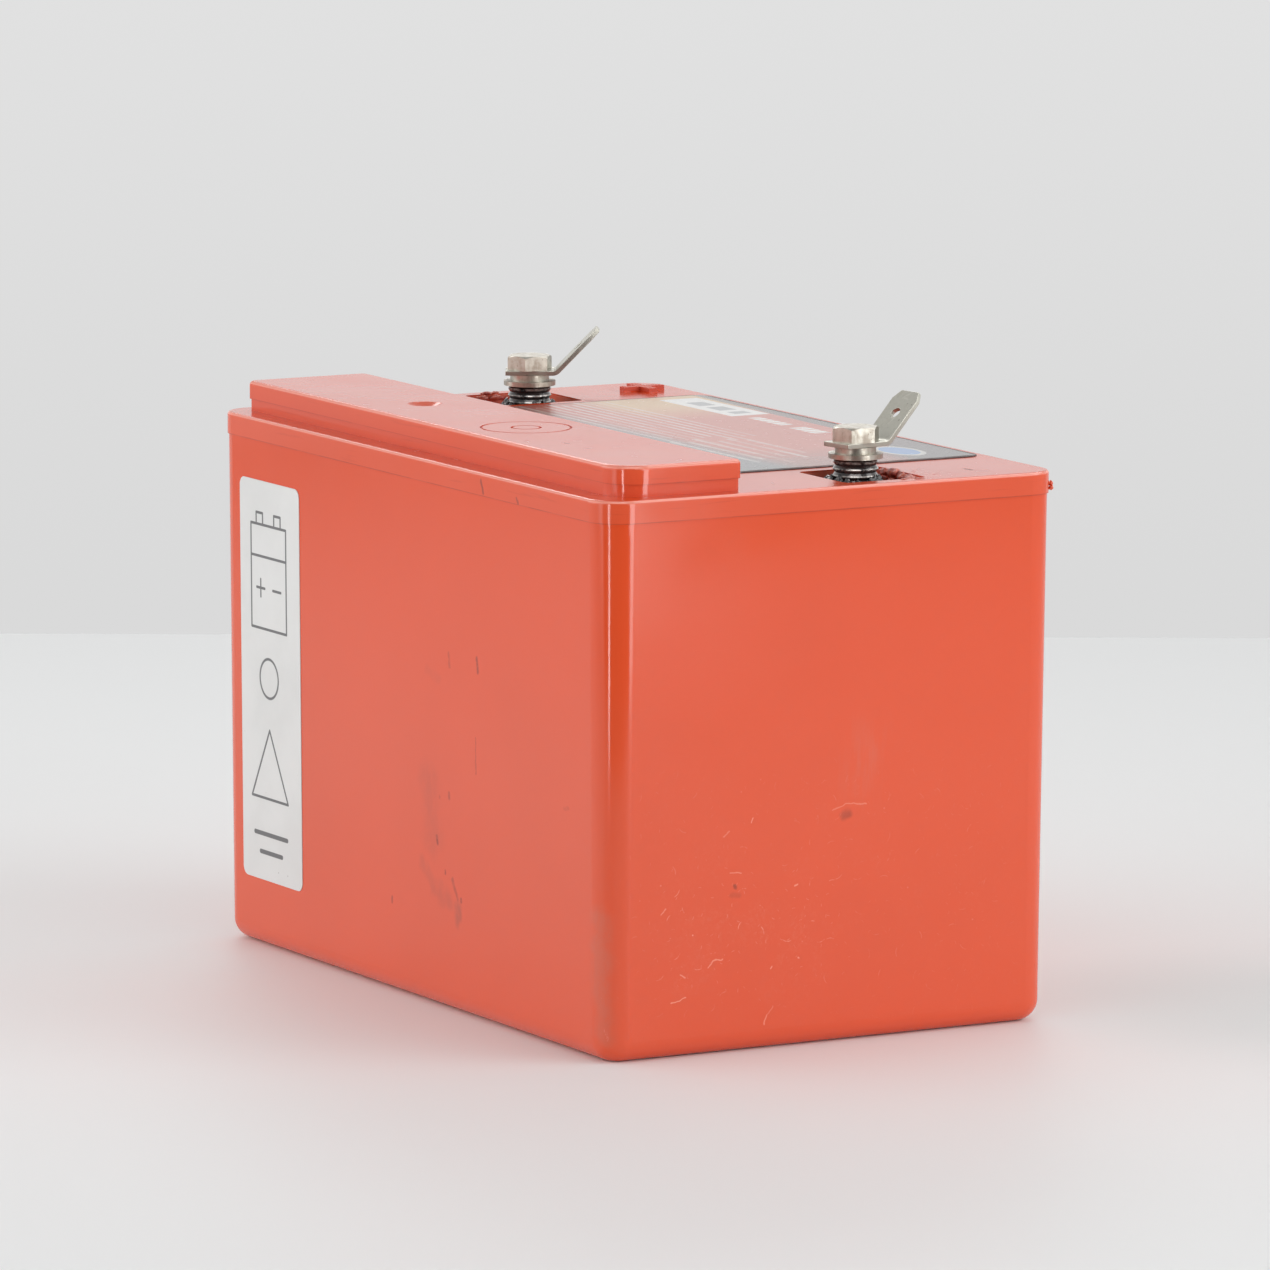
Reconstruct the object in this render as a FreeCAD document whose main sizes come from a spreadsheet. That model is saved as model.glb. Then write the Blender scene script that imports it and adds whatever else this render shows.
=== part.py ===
import FreeCAD, Part
import math
import os
import Sketcher

# A sealed twelve-volt lead acid block. Six cells stand in a row along X inside a moulded case, under a
# glued lid. A raised cover strip over the valves runs along the -Y side of the lid. The two terminals
# stand in square pockets near the lid's ends. The origin is at the middle of the base, +Z is up, and
# lengths are in millimetres.

SIZES = [
    ("lid_length", 138.0, "lid along X, the largest outline of the block"),
    ("lid_width", 86.0, "lid along Y"),
    ("lid_top", 92.2, "height of the lid's flat top"),
    ("corner_radius", 5.5, "vertical corners of lid and case"),
    ("skirt_height", 3.8, "lid's skirt from its lower edge to the flat top"),
    ("seam_step", 0.25, "skirt stands proud of the case by this"),
    ("case_draft", 0.8, "inset of each side from the seam down to the base"),
    ("base_radius", 3.6, "rounding between sides and base"),
    ("case_wall", 2.2, "outer wall at the seam"),
    ("floor_thickness", 2.5, "bottom of the case"),
    ("cell_count", 6, "cells in the row"),
    ("partition", 1.2, "wall between two cells"),
    ("tongue_thickness", 1.0, "rim of the case that enters the lid"),
    ("joint_gap", 0.05, "glue gap beside the rim"),
    ("lid_plate", 2.4, "thickness of the lid's flat top"),
    ("lid_edge_radius", 0.6, "rounding of the lid's top edge"),
    ("cover_inset_side", 4.3, "vent cover in from the lid's -Y edge"),
    ("cover_inset_end", 3.2, "vent cover in from each end of the lid"),
    ("cover_width", 23.1, "vent cover along Y"),
    ("cover_thickness", 3.1, "vent cover plate"),
    ("cover_corner", 5.5, "cover corner at the +X end of the -Y side"),
    ("cover_small_corner", 1.3, "the other corners of the cover"),
    ("cover_edge_radius", 0.7, "rounding of the cover's top edge"),
    ("cover_overhang", 0.3, "cover stands proud of the riser below"),
    ("riser_height", 2.0, "riser between lid and cover"),
    ("riser_wall", 1.8, "wall of the riser round the gas channel"),
    ("channel_depth", 1.2, "gas channel below the lid's top"),
    ("lip_depth", 0.9, "locating lip below the cover"),
    ("lip_wall", 1.0, "thickness of the locating lip"),
    ("lip_gap", 0.15, "clearance between lip and riser"),
    ("dimple_radius", 3.1, "gate dimple on the cover"),
    ("dimple_floor_radius", 1.1, "flat bottom of the gate dimple"),
    ("dimple_depth", 0.9, "depth of the gate dimple"),
    ("dimple_place", -22.2, "gate dimple along X"),
    ("ring_radius", 7.7, "moulded ring on the cover"),
    ("ring_line", 0.4, "width of the moulded rings' lines"),
    ("ring_depth", 0.25, "depth of the moulded rings"),
    ("ring_hub_radius", 2.6, "small ring at the middle of the moulded ring"),
    ("ring_place", 13.6, "moulded ring along X"),
    ("well_radius", 5.3, "bore of a valve well"),
    ("well_wall", 1.4, "wall of a valve well below the lid"),
    ("well_depth", 6.0, "valve well below the gas channel's floor"),
    ("well_base", 1.5, "thickness below a valve well"),
    ("nozzle_radius", 2.9, "outside of the vent nozzle"),
    ("nozzle_bore", 1.2, "radius of the vent hole"),
    ("valve_radius", 4.2, "outside of the rubber valve cap"),
    ("valve_crown", 1.3, "thickness of the valve cap over the nozzle"),
    ("valve_lift", 0.3, "open height below the cap's skirt"),
    ("pin_width", 3.4, "square cover pin that holds a valve cap down"),
    ("terminal_inset", 13.2, "terminal axis in from the lid's end"),
    ("terminal_place", 11.4, "terminal axis along Y"),
    ("pocket_end", 3.2, "terminal pocket in from the lid's end"),
    ("pocket_inner", 5.8, "terminal pocket's inner wall from the terminal axis"),
    ("pocket_width", 15.4, "terminal pocket along Y"),
    ("pocket_depth", 2.2, "terminal pocket below the lid's top"),
    ("pocket_corner", 1.2, "corners of the terminal pocket"),
    ("boss_wall", 1.6, "wall of the boss below a pocket, along Y"),
    ("boss_gap", 0.2, "clearance between the boss and the cell walls"),
    ("boss_depth", 4.0, "boss below the terminal pocket's floor"),
    ("seal_margin", 0.2, "pocket floor between the resin well and the inner wall"),
    ("seal_depth", 2.4, "resin well below the pocket's floor"),
    ("seal_skirt", 0.5, "foot of the resin's rise up the post"),
    ("seal_rise", 1.1, "resin above the pocket's floor at the post"),
    ("post_radius", 3.8, "terminal post"),
    ("post_gap", 0.2, "clearance round the post in its boss"),
    ("post_rise", 2.6, "post above the lid's top"),
    ("post_foot_radius", 5.0, "foot of the post on its strap"),
    ("post_foot", 2.0, "thickness of the post's foot"),
    ("rib_count", 3, "ribs round the post"),
    ("rib_depth", 0.4, "depth of the grooves between the ribs"),
    ("rib_pitch", 1.15, "spacing of the ribs"),
    ("thread_radius", 2.0, "bolt thread, outside radius"),
    ("thread_gap", 0.05, "clearance of the bolt in the post"),
    ("thread_depth", 8.0, "tapped hole below the post's top"),
    ("bolt_length", 9.0, "bolt below its head"),
    ("hex_flats", 7.0, "bolt head across flats"),
    ("hex_height", 2.5, "height of the bolt head"),
    ("hex_chamfer", 0.35, "height of the head's chamfer at a corner"),
    ("hex_turn", -10.0, "turn of a bolt head about Z, in degrees"),
    ("flat_washer_radius", 4.5, "outside of the flat washer"),
    ("flat_washer_thickness", 0.8, "flat washer"),
    ("washer_gap", 0.15, "clearance of washers and tab round the bolt"),
    ("lock_washer_radius", 3.4, "outside of the split washer"),
    ("lock_washer_thickness", 1.1, "split washer"),
    ("split_width", 0.7, "gap of the split washer"),
    ("split_slant", 0.8, "lean of the gap over the washer's thickness"),
    ("tab_width", 6.3, "blade terminal"),
    ("tab_thickness", 0.8, "sheet of the blade terminal"),
    ("tab_rear", 4.2, "blade terminal behind the bolt axis"),
    ("tab_bend_start", 4.0, "flat of the blade terminal before its bend"),
    ("tab_bend_radius", 1.0, "inside radius of the bend"),
    ("tab_tilt", 46.0, "bend angle in degrees"),
    ("tab_blade", 9.9, "blade beyond the bend"),
    ("tab_tip_length", 1.5, "bevel of the tip along the blade"),
    ("tab_tip_width", 1.1, "bevel of the tip across the blade"),
    ("tab_hole_radius", 0.85, "detent hole of the blade"),
    ("tab_hole_place", 4.6, "detent hole from the blade's tip"),
    ("tab_turn_positive", 60.7, "direction of the positive blade about Z, in degrees"),
    ("tab_turn_negative", 99.0, "direction of the negative blade about Z, in degrees"),
    ("plus_size", 8.0, "moulded plus sign"),
    ("plus_bar", 1.7, "bar of the plus sign"),
    ("plus_height", 0.9, "height of the plus sign"),
    ("plus_from_end", 11.5, "plus sign in from the lid's -X end"),
    ("plus_from_side", 8.2, "plus sign in from the lid's +Y edge"),
    ("positive_count", 5, "positive plates in a cell"),
    ("positive_thickness", 1.3, "positive plate"),
    ("negative_thickness", 1.0, "negative plate"),
    ("stack_gap", 0.1, "clearance between the plate pack and the cell walls"),
    ("mat_gap", 0.4, "glass mat short of the case along Y"),
    ("mat_overlap", 1.0, "glass mat beyond the plates"),
    ("head_space", 15.8, "plates' top edge below the lid's plate"),
    ("lug_width", 8.0, "plate lug along Y"),
    ("lug_height", 5.0, "plate lug above the plate"),
    ("strap_thickness", 3.5, "bar that joins the lugs"),
    ("strap_rim", 1.2, "bar beyond the lugs along Y"),
    ("strap_gap", 0.6, "bar short of the wall that it isn't welded to"),
    ("link_thickness", 2.4, "upright of a strap against the partition"),
    ("link_gap", 1.6, "uprights short of the lid's plate"),
    ("weld_radius", 2.5, "weld through a partition"),
    ("weld_gap", 0.1, "clearance of the weld in its window"),
    ("film_thickness", 0.12, "film of both labels"),
    ("top_film_end", 21.8, "top label in from each end of the lid"),
    ("top_film_side", 1.8, "top label in from the lid's +Y edge"),
    ("top_film_cover_gap", 1.6, "top label beside the vent cover"),
    ("top_film_corner", 3.0, "corners of the top label"),
    ("side_film_end", 8.4, "side label in from the lid's -X end"),
    ("side_film_width", 22.1, "side label along X"),
    ("side_film_drop", 10.6, "upper edge of the side label below the lid's top"),
    ("side_film_rise", 12.1, "lower edge of the side label above the base"),
    ("side_film_corner", 1.6, "corners of the side label"),
]

FLAT = 1e-4


class Size:
    """A length as a number, with the sheet expression that gives it."""

    def __init__(self, value, text):
        self.value = value
        self.text = text

    def __add__(self, other):
        other = as_size(other)
        return Size(self.value + other.value, f"({self.text} + {other.text})")

    def __sub__(self, other):
        other = as_size(other)
        return Size(self.value - other.value, f"({self.text} - {other.text})")

    def __mul__(self, other):
        other = as_size(other)
        return Size(self.value * other.value, f"({self.text} * {other.text})")

    def __truediv__(self, other):
        other = as_size(other)
        return Size(self.value / other.value, f"({self.text} / {other.text})")

    def __neg__(self):
        return Size(-self.value, f"(-1 * {self.text})")

    __radd__ = __add__
    __rmul__ = __mul__


def as_size(number):
    if isinstance(number, Size):
        return number
    return Size(float(number), repr(float(number)))


def slope_angle(rise, run):
    angle = math.degrees(math.atan2(rise.value, run.value))
    return Size(angle, f"atan({rise.text} / {run.text})")


def fill_sheet(doc):
    """Write the sizes to the sheet and return them by name."""
    sheet = doc.addObject("Spreadsheet::Sheet", "Sizes")
    named = {}
    for row, (name, value, note) in enumerate(SIZES, 1):
        sheet.set(f"A{row}", name)
        sheet.set(f"B{row}", str(value))
        sheet.set(f"C{row}", note)
        sheet.setAlias(f"B{row}", name)
        named[name] = Size(float(value), f"Sizes.{name}")
    doc.recompute()
    return named


class Maker:
    """Bodies, sketches and features whose sizes are bound to the sheet."""

    def __init__(self, doc):
        self.doc = doc
        self.bodies = []

    def body(self, name):
        body = self.doc.addObject("PartDesign::Body", name)
        body.Label = name
        body.AllowCompound = True
        self.bodies.append(body)
        return body

    def sketch(self, body, name, plane="XY_Plane", offset=None):
        sketch = body.newObject("Sketcher::SketchObject", f"{body.Name}_{name}")
        sketch.AttachmentSupport = [(origin_part(body, plane), "")]
        sketch.MapMode = "FlatFace"
        if offset is not None:
            bind(sketch, "AttachmentOffset.Base.z", offset)
        return sketch

    def pad(self, sketch, name, length, flip=False, both_ways=False, taper=None):
        return self.extrude("PartDesign::Pad", sketch, name, length, flip, both_ways, taper)

    def pocket(self, sketch, name, length, flip=False, both_ways=False):
        return self.extrude("PartDesign::Pocket", sketch, name, length, flip, both_ways, None)

    def extrude(self, kind, sketch, name, length, flip, both_ways, taper):
        body = sketch.getParentGeoFeatureGroup()
        feature = body.newObject(kind, f"{body.Name}_{name}")
        feature.Profile = sketch
        bind(feature, "Length", length)
        feature.Reversed = flip
        if both_ways:
            feature.SideType = "Symmetric"
        if taper is not None:
            bind(feature, "TaperAngle", taper)
        sketch.Visibility = False
        return feature

    def turn(self, kind, sketch, name):
        body = sketch.getParentGeoFeatureGroup()
        feature = body.newObject(kind, f"{body.Name}_{name}")
        feature.Profile = sketch
        feature.ReferenceAxis = (sketch, ["V_Axis"])
        feature.Angle = 360.0
        return feature

    def row_of(self, features, name, pitch, count):
        """Repeat features along X, the first copy at the features themselves."""
        body = features[0].getParentGeoFeatureGroup()
        pattern = body.newObject("PartDesign::LinearPattern", f"{body.Name}_{name}")
        pattern.Originals = features
        pattern.Direction = (origin_part(body, "X_Axis"), [""])
        bind(pattern, "Length", pitch * (count - 1))
        bind(pattern, "Occurrences", count)
        body.Tip = pattern
        return pattern

    def mirror(self, features, name):
        """Repeat features on the other side of X = 0."""
        body = features[0].getParentGeoFeatureGroup()
        mirrored = body.newObject("PartDesign::Mirrored", f"{body.Name}_{name}")
        mirrored.Originals = features
        mirrored.MirrorPlane = (origin_part(body, "YZ_Plane"), [""])
        body.Tip = mirrored
        return mirrored

    def fillet(self, base, name, radius, heights):
        """Round the edges of a feature that lie flat at the given heights."""
        self.doc.recompute()
        body = base.getParentGeoFeatureGroup()
        feature = body.newObject("PartDesign::Fillet", f"{body.Name}_{name}")
        feature.Base = (base, flat_edges(base.Shape, heights))
        bind(feature, "Radius", radius)
        return feature


def origin_part(body, role):
    return next(part for part in body.Origin.OriginFeatures if part.Role == role)


def bind(item, path, size):
    item.setExpression(path, as_size(size).text)


def place(body, x=0, y=0, z=0):
    for axis, size in (("x", x), ("y", y), ("z", z)):
        bind(body, f"Placement.Base.{axis}", size)


def turn_about(body, axis, angle):
    body.Placement.Rotation = FreeCAD.Rotation(FreeCAD.Vector(*axis), angle.value)
    bind(body, "Placement.Rotation.Angle", angle)


def flat_edges(shape, heights):
    names = []
    for index, edge in enumerate(shape.Edges, 1):
        box = edge.BoundBox
        for height in heights:
            if abs(box.ZMin - height.value) < FLAT and abs(box.ZMax - height.value) < FLAT:
                names.append(f"Edge{index}")
    return names


def vector(x, y):
    return FreeCAD.Vector(as_size(x).value, as_size(y).value, 0)


def pin_point(sketch, item, point, x, y):
    """Hold one point of a sketch at x, y, each a size or zero."""
    for kind, size, axis in (("DistanceX", as_size(x), -2), ("DistanceY", as_size(y), -1)):
        if size.text == "0.0":
            sketch.addConstraint(Sketcher.Constraint("PointOnObject", item, point, axis))
            continue
        index = sketch.addConstraint(Sketcher.Constraint(kind, -1, 1, item, point, size.value))
        bind(sketch, f"Constraints[{index}]", size)


def circle(sketch, radius, x=0, y=0):
    radius = as_size(radius)
    item = sketch.addGeometry(Part.Circle(vector(x, y), FreeCAD.Vector(0, 0, 1), radius.value), False)
    pin_point(sketch, item, 3, x, y)
    index = sketch.addConstraint(Sketcher.Constraint("Radius", item, radius.value))
    bind(sketch, f"Constraints[{index}]", radius)
    return item


def polygon(sketch, points):
    """A closed outline of straight lines through the given points."""
    count = len(points)
    lines = []
    for index, point in enumerate(points):
        after = points[(index + 1) % count]
        lines.append(sketch.addGeometry(Part.LineSegment(vector(*point), vector(*after)), False))
    for index, line in enumerate(lines):
        after = lines[(index + 1) % count]
        sketch.addConstraint(Sketcher.Constraint("Coincident", line, 2, after, 1))
    for line, point in zip(lines, points):
        pin_point(sketch, line, 1, *point)
    return lines


def rectangle(sketch, left, right, low, high, radii):
    """A rectangle whose corners, from low right round to low left, have the given radii."""
    radii = [as_size(radius) for radius in radii]
    turns = [(1, -1), (1, 1), (-1, 1), (-1, -1)]
    corners = [(right, low), (right, high), (left, high), (left, low)]
    arcs = []
    ends = []
    for step, (corner, sign, radius) in enumerate(zip(corners, turns, radii)):
        centre = vector(corner[0] - sign[0] * radius, corner[1] - sign[1] * radius)
        start = math.radians(90 * step - 90)
        round_edge = Part.Circle(centre, FreeCAD.Vector(0, 0, 1), radius.value)
        arc = Part.ArcOfCircle(round_edge, start, start + math.pi / 2)
        arcs.append(sketch.addGeometry(arc, False))
        ends.append((arc.StartPoint, arc.EndPoint))
    levels = [(right, 0), (0, high), (left, 0), (0, low)]
    for step, level in enumerate(levels):
        after = (step + 1) % 4
        line = sketch.addGeometry(Part.LineSegment(ends[step][1], ends[after][0]), False)
        upright = step % 2 == 0
        sketch.addConstraint(Sketcher.Constraint("Vertical" if upright else "Horizontal", line))
        sketch.addConstraint(Sketcher.Constraint("Tangent", arcs[step], 2, line, 1))
        sketch.addConstraint(Sketcher.Constraint("Tangent", line, 2, arcs[after], 1))
        kind = "DistanceX" if upright else "DistanceY"
        size = as_size(level[0] if upright else level[1])
        index = sketch.addConstraint(Sketcher.Constraint(kind, -1, 1, line, 1, size.value))
        bind(sketch, f"Constraints[{index}]", size)
    for arc, radius in zip(arcs, radii):
        index = sketch.addConstraint(Sketcher.Constraint("Radius", arc, radius.value))
        bind(sketch, f"Constraints[{index}]", radius)


def centred_rectangle(sketch, half_x, half_y, radius):
    rectangle(sketch, -half_x, half_x, -half_y, half_y, [radius] * 4)


def box_points(left, right, low, high):
    return [(left, low), (right, low), (right, high), (left, high)]


def square(sketch, half, x, y):
    polygon(sketch, box_points(x - half, x + half, y - half, y + half))


class Layout:
    """Places that several pieces share, worked out from the sheet."""

    def __init__(self, s):
        self.case_half_x = s["lid_length"] / 2 - s["seam_step"]
        self.case_half_y = s["lid_width"] / 2 - s["seam_step"]
        self.inner_half_x = self.case_half_x - s["case_wall"]
        self.inner_half_y = self.case_half_y - s["case_wall"]
        self.seam = s["lid_top"] - s["skirt_height"]
        self.roof = s["lid_top"] - s["lid_plate"]
        self.channel_floor = s["lid_top"] - s["channel_depth"]
        self.well_floor = self.channel_floor - s["well_depth"]
        self.valve_top = self.channel_floor + s["valve_crown"]
        count = s["cell_count"]
        self.cell_width = (self.inner_half_x * 2 - s["partition"] * (count - 1)) / count
        self.cell_pitch = self.cell_width + s["partition"]
        self.first_cell = self.cell_width / 2 - self.inner_half_x
        self.riser_top = s["lid_top"] + s["riser_height"]
        self.cover_top = self.riser_top + s["cover_thickness"]
        self.cover_low_y = s["cover_inset_side"] - s["lid_width"] / 2
        self.cover_high_y = self.cover_low_y + s["cover_width"]
        self.cover_half_x = s["lid_length"] / 2 - s["cover_inset_end"]
        self.valve_y = (self.cover_low_y + self.cover_high_y) / 2
        self.terminal_x = s["lid_length"] / 2 - s["terminal_inset"]
        self.pocket_floor = s["lid_top"] - s["pocket_depth"]
        self.boss_bottom = self.pocket_floor - s["boss_depth"]
        self.seal_radius = s["pocket_inner"] - s["seal_margin"]
        self.plate_top = self.roof - s["head_space"]
        self.strap_bottom = self.plate_top + s["lug_height"]
        self.link_top = self.roof - s["link_gap"]
        self.strap_top = self.strap_bottom + s["strap_thickness"]
        self.post_top = s["lid_top"] + s["post_rise"]
        self.lock_washer_bottom = self.post_top + s["flat_washer_thickness"]
        self.tab_bottom = self.lock_washer_bottom + s["lock_washer_thickness"]
        self.head_bottom = self.tab_bottom + s["tab_thickness"]
        self.weld_height = (self.strap_top + self.link_top) / 2
        self.window_radius = s["weld_radius"] + s["weld_gap"]

    def cell_centre(self, cell):
        return self.first_cell + self.cell_pitch * cell


def riser_outline(s, at, sketch, inset):
    """The outline of the vent cover, drawn in by an inset."""
    big = s["cover_corner"] - inset
    small = s["cover_small_corner"] - inset
    if small.value < s["joint_gap"].value:
        small = s["joint_gap"]
    half_x = at.cover_half_x - inset
    low = at.cover_low_y + inset
    rectangle(sketch, -half_x, half_x, low, at.cover_high_y - inset, [big, small, small, small])


def build_case(make, s, at):
    body = make.body("case")
    base = make.sketch(body, "base_outline")
    half_x = at.case_half_x - s["case_draft"]
    half_y = at.case_half_y - s["case_draft"]
    centred_rectangle(base, half_x, half_y, s["corner_radius"] - s["seam_step"] - s["case_draft"])
    draft = slope_angle(s["case_draft"], at.seam)
    block = make.pad(base, "block", at.seam, taper=draft)
    make.fillet(block, "base_rounding", s["base_radius"], [as_size(0)])

    rim = make.sketch(body, "rim_outline", offset=at.seam)
    tongue = s["tongue_thickness"]
    centred_rectangle(rim, at.inner_half_x + tongue, at.inner_half_y + tongue, tongue)
    make.pad(rim, "rim", at.roof - at.seam)

    cell = make.sketch(body, "cell_outline", offset=at.roof)
    left = -at.inner_half_x
    right = left + at.cell_width
    polygon(cell, box_points(left, right, -at.inner_half_y, at.inner_half_y))
    hollow = make.pocket(cell, "cell", at.roof - s["floor_thickness"])
    make.row_of([hollow], "cells", at.cell_pitch, s["cell_count"])

    side = -1
    for wall in range(int(s["cell_count"].value) - 1):
        centre = at.cell_centre(wall) + at.cell_pitch / 2
        window = make.sketch(body, f"window_{wall + 1}_outline", "YZ_Plane", centre)
        circle(window, at.window_radius, side * s["terminal_place"], at.weld_height)
        make.pocket(window, f"window_{wall + 1}", s["partition"] * 2, both_ways=True)
        side = -side


def build_lid(make, s, at):
    body = make.body("lid")
    outline = make.sketch(body, "outline", offset=at.seam)
    centred_rectangle(outline, s["lid_length"] / 2, s["lid_width"] / 2, s["corner_radius"])
    block = make.pad(outline, "block", s["lid_top"] - at.seam)
    make.fillet(block, "edge_rounding", s["lid_edge_radius"], [s["lid_top"]])

    riser = make.sketch(body, "riser_outline", offset=s["lid_top"])
    riser_outline(s, at, riser, s["cover_overhang"])
    make.pad(riser, "riser", s["riser_height"])

    hollow = make.sketch(body, "underside_outline", offset=at.seam)
    reach = s["tongue_thickness"] + s["joint_gap"]
    centred_rectangle(hollow, at.inner_half_x + reach, at.inner_half_y + reach, reach)
    make.pocket(hollow, "underside", at.roof - at.seam, flip=True)

    wells = lid_wells(make, s, at, body)
    make.row_of(wells, "wells", at.cell_pitch, s["cell_count"])
    make.mirror(lid_terminal(make, s, at, body), "terminals")

    plus = make.sketch(body, "plus_outline", offset=s["lid_top"])
    plus_outline(s, plus)
    make.pad(plus, "plus", s["plus_height"])


def lid_wells(make, s, at, body):
    """The first of the valve wells, and the gas channel that joins them all."""
    boss = make.sketch(body, "well_boss_outline", offset=at.roof)
    square(boss, s["well_radius"] + s["well_wall"], at.first_cell, at.valve_y)
    base = at.well_floor - s["well_base"]
    boss_pad = make.pad(boss, "well_boss", at.roof - base, flip=True)

    channel = make.sketch(body, "channel_outline", offset=at.riser_top)
    riser_outline(s, at, channel, s["cover_overhang"] + s["riser_wall"])
    make.pocket(channel, "channel", at.riser_top - at.channel_floor)

    well = make.sketch(body, "well_outline", offset=at.channel_floor)
    circle(well, s["well_radius"], at.first_cell, at.valve_y)
    circle(well, s["nozzle_radius"], at.first_cell, at.valve_y)
    well_cut = make.pocket(well, "well", at.channel_floor - at.well_floor)

    vent = make.sketch(body, "vent_outline", offset=at.channel_floor)
    circle(vent, s["nozzle_bore"], at.first_cell, at.valve_y)
    vent_cut = make.pocket(vent, "vent", at.channel_floor - base)
    return [boss_pad, well_cut, vent_cut]


def lid_terminal(make, s, at, body):
    """The negative terminal's pocket, boss, resin well and bore, at the +X end."""
    boss = make.sketch(body, "boss_outline", offset=at.roof)
    right = at.inner_half_x - s["boss_gap"]
    left = at.inner_half_x - at.cell_width + s["boss_gap"]
    half = s["pocket_width"] / 2 + s["boss_wall"]
    middle = s["terminal_place"]
    polygon(boss, box_points(left, right, middle - half, middle + half))
    boss_pad = make.pad(boss, "boss", at.roof - at.boss_bottom, flip=True)

    pocket = make.sketch(body, "pocket_outline", offset=s["lid_top"])
    outer = s["lid_length"] / 2 - s["pocket_end"]
    inner = at.terminal_x - s["pocket_inner"]
    half = s["pocket_width"] / 2
    rectangle(pocket, inner, outer, middle - half, middle + half, [s["pocket_corner"]] * 4)
    pocket_cut = make.pocket(pocket, "pocket", s["pocket_depth"])

    well = make.sketch(body, "resin_outline", offset=at.pocket_floor)
    circle(well, at.seal_radius, at.terminal_x, middle)
    well_cut = make.pocket(well, "resin_well", s["seal_depth"])

    bore = make.sketch(body, "bore_outline", offset=at.pocket_floor)
    circle(bore, s["post_radius"] + s["post_gap"], at.terminal_x, middle)
    bore_cut = make.pocket(bore, "bore", at.pocket_floor - at.boss_bottom)
    return [boss_pad, pocket_cut, well_cut, bore_cut]


def plus_outline(s, sketch):
    x = s["plus_from_end"] - s["lid_length"] / 2
    y = s["lid_width"] / 2 - s["plus_from_side"]
    arm = s["plus_size"] / 2
    bar = s["plus_bar"] / 2
    quarter = [(arm, bar), (bar, bar), (bar, arm)]
    points = quarter + [(-a, b) for a, b in reversed(quarter)]
    points += [(-a, -b) for a, b in quarter] + [(a, -b) for a, b in reversed(quarter)]
    polygon(sketch, [(x + a, y + b) for a, b in points])


def build_vent_cover(make, s, at):
    body = make.body("vent_cover")
    outline = make.sketch(body, "outline", offset=at.riser_top)
    riser_outline(s, at, outline, as_size(0))
    plate = make.pad(outline, "plate", s["cover_thickness"])
    make.fillet(plate, "edge_rounding", s["cover_edge_radius"], [at.cover_top])

    lip = make.sketch(body, "lip_outline", offset=at.riser_top)
    outside = s["cover_overhang"] + s["riser_wall"] + s["lip_gap"]
    riser_outline(s, at, lip, outside)
    riser_outline(s, at, lip, outside + s["lip_wall"])
    make.pad(lip, "lip", s["lip_depth"], flip=True)

    pin = make.sketch(body, "pin_outline", offset=at.riser_top)
    square(pin, s["pin_width"] / 2, at.first_cell, at.valve_y)
    pin_pad = make.pad(pin, "pin", at.riser_top - at.valve_top, flip=True)
    make.row_of([pin_pad], "pins", at.cell_pitch, s["cell_count"])

    ring = make.sketch(body, "ring_outline", offset=at.cover_top)
    for radius in (s["ring_radius"], s["ring_hub_radius"]):
        circle(ring, radius, s["ring_place"], at.valve_y)
        circle(ring, radius - s["ring_line"], s["ring_place"], at.valve_y)
    make.pocket(ring, "ring", s["ring_depth"])

    dimple = make.sketch(body, "dimple_outline", offset=at.cover_top)
    circle(dimple, s["dimple_radius"], s["dimple_place"], at.valve_y)
    cut = make.pocket(dimple, "dimple", s["dimple_depth"])
    bind(cut, "TaperAngle", -slope_angle(s["dimple_radius"] - s["dimple_floor_radius"], s["dimple_depth"]))


def build_valve(make, s, at, cell):
    """A rubber cap over the nozzle of one cell, drawn at its own axis."""
    body = make.body(f"valve_cap_{cell + 1}")
    profile = make.sketch(body, "profile", "XZ_Plane")
    foot = at.well_floor + s["valve_lift"]
    polygon(profile, [
        (0, at.valve_top),
        (s["valve_radius"], at.valve_top),
        (s["valve_radius"], foot),
        (s["nozzle_radius"], foot),
        (s["nozzle_radius"], at.channel_floor),
        (0, at.channel_floor),
    ])
    make.turn("PartDesign::Revolution", profile, "cap")
    place(body, at.cell_centre(cell), at.valve_y)


def plate_outline(s, at, sketch, half_y, lug_y):
    """A plate with its lug, drawn in Y and Z."""
    low = s["floor_thickness"] + s["mat_overlap"]
    top = at.plate_top
    lug = s["lug_width"] / 2
    polygon(sketch, [
        (-half_y, low),
        (half_y, low),
        (half_y, top),
        (lug_y + lug, top),
        (lug_y + lug, top + s["lug_height"]),
        (lug_y - lug, top + s["lug_height"]),
        (lug_y - lug, top),
        (-half_y, top),
    ])


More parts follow.
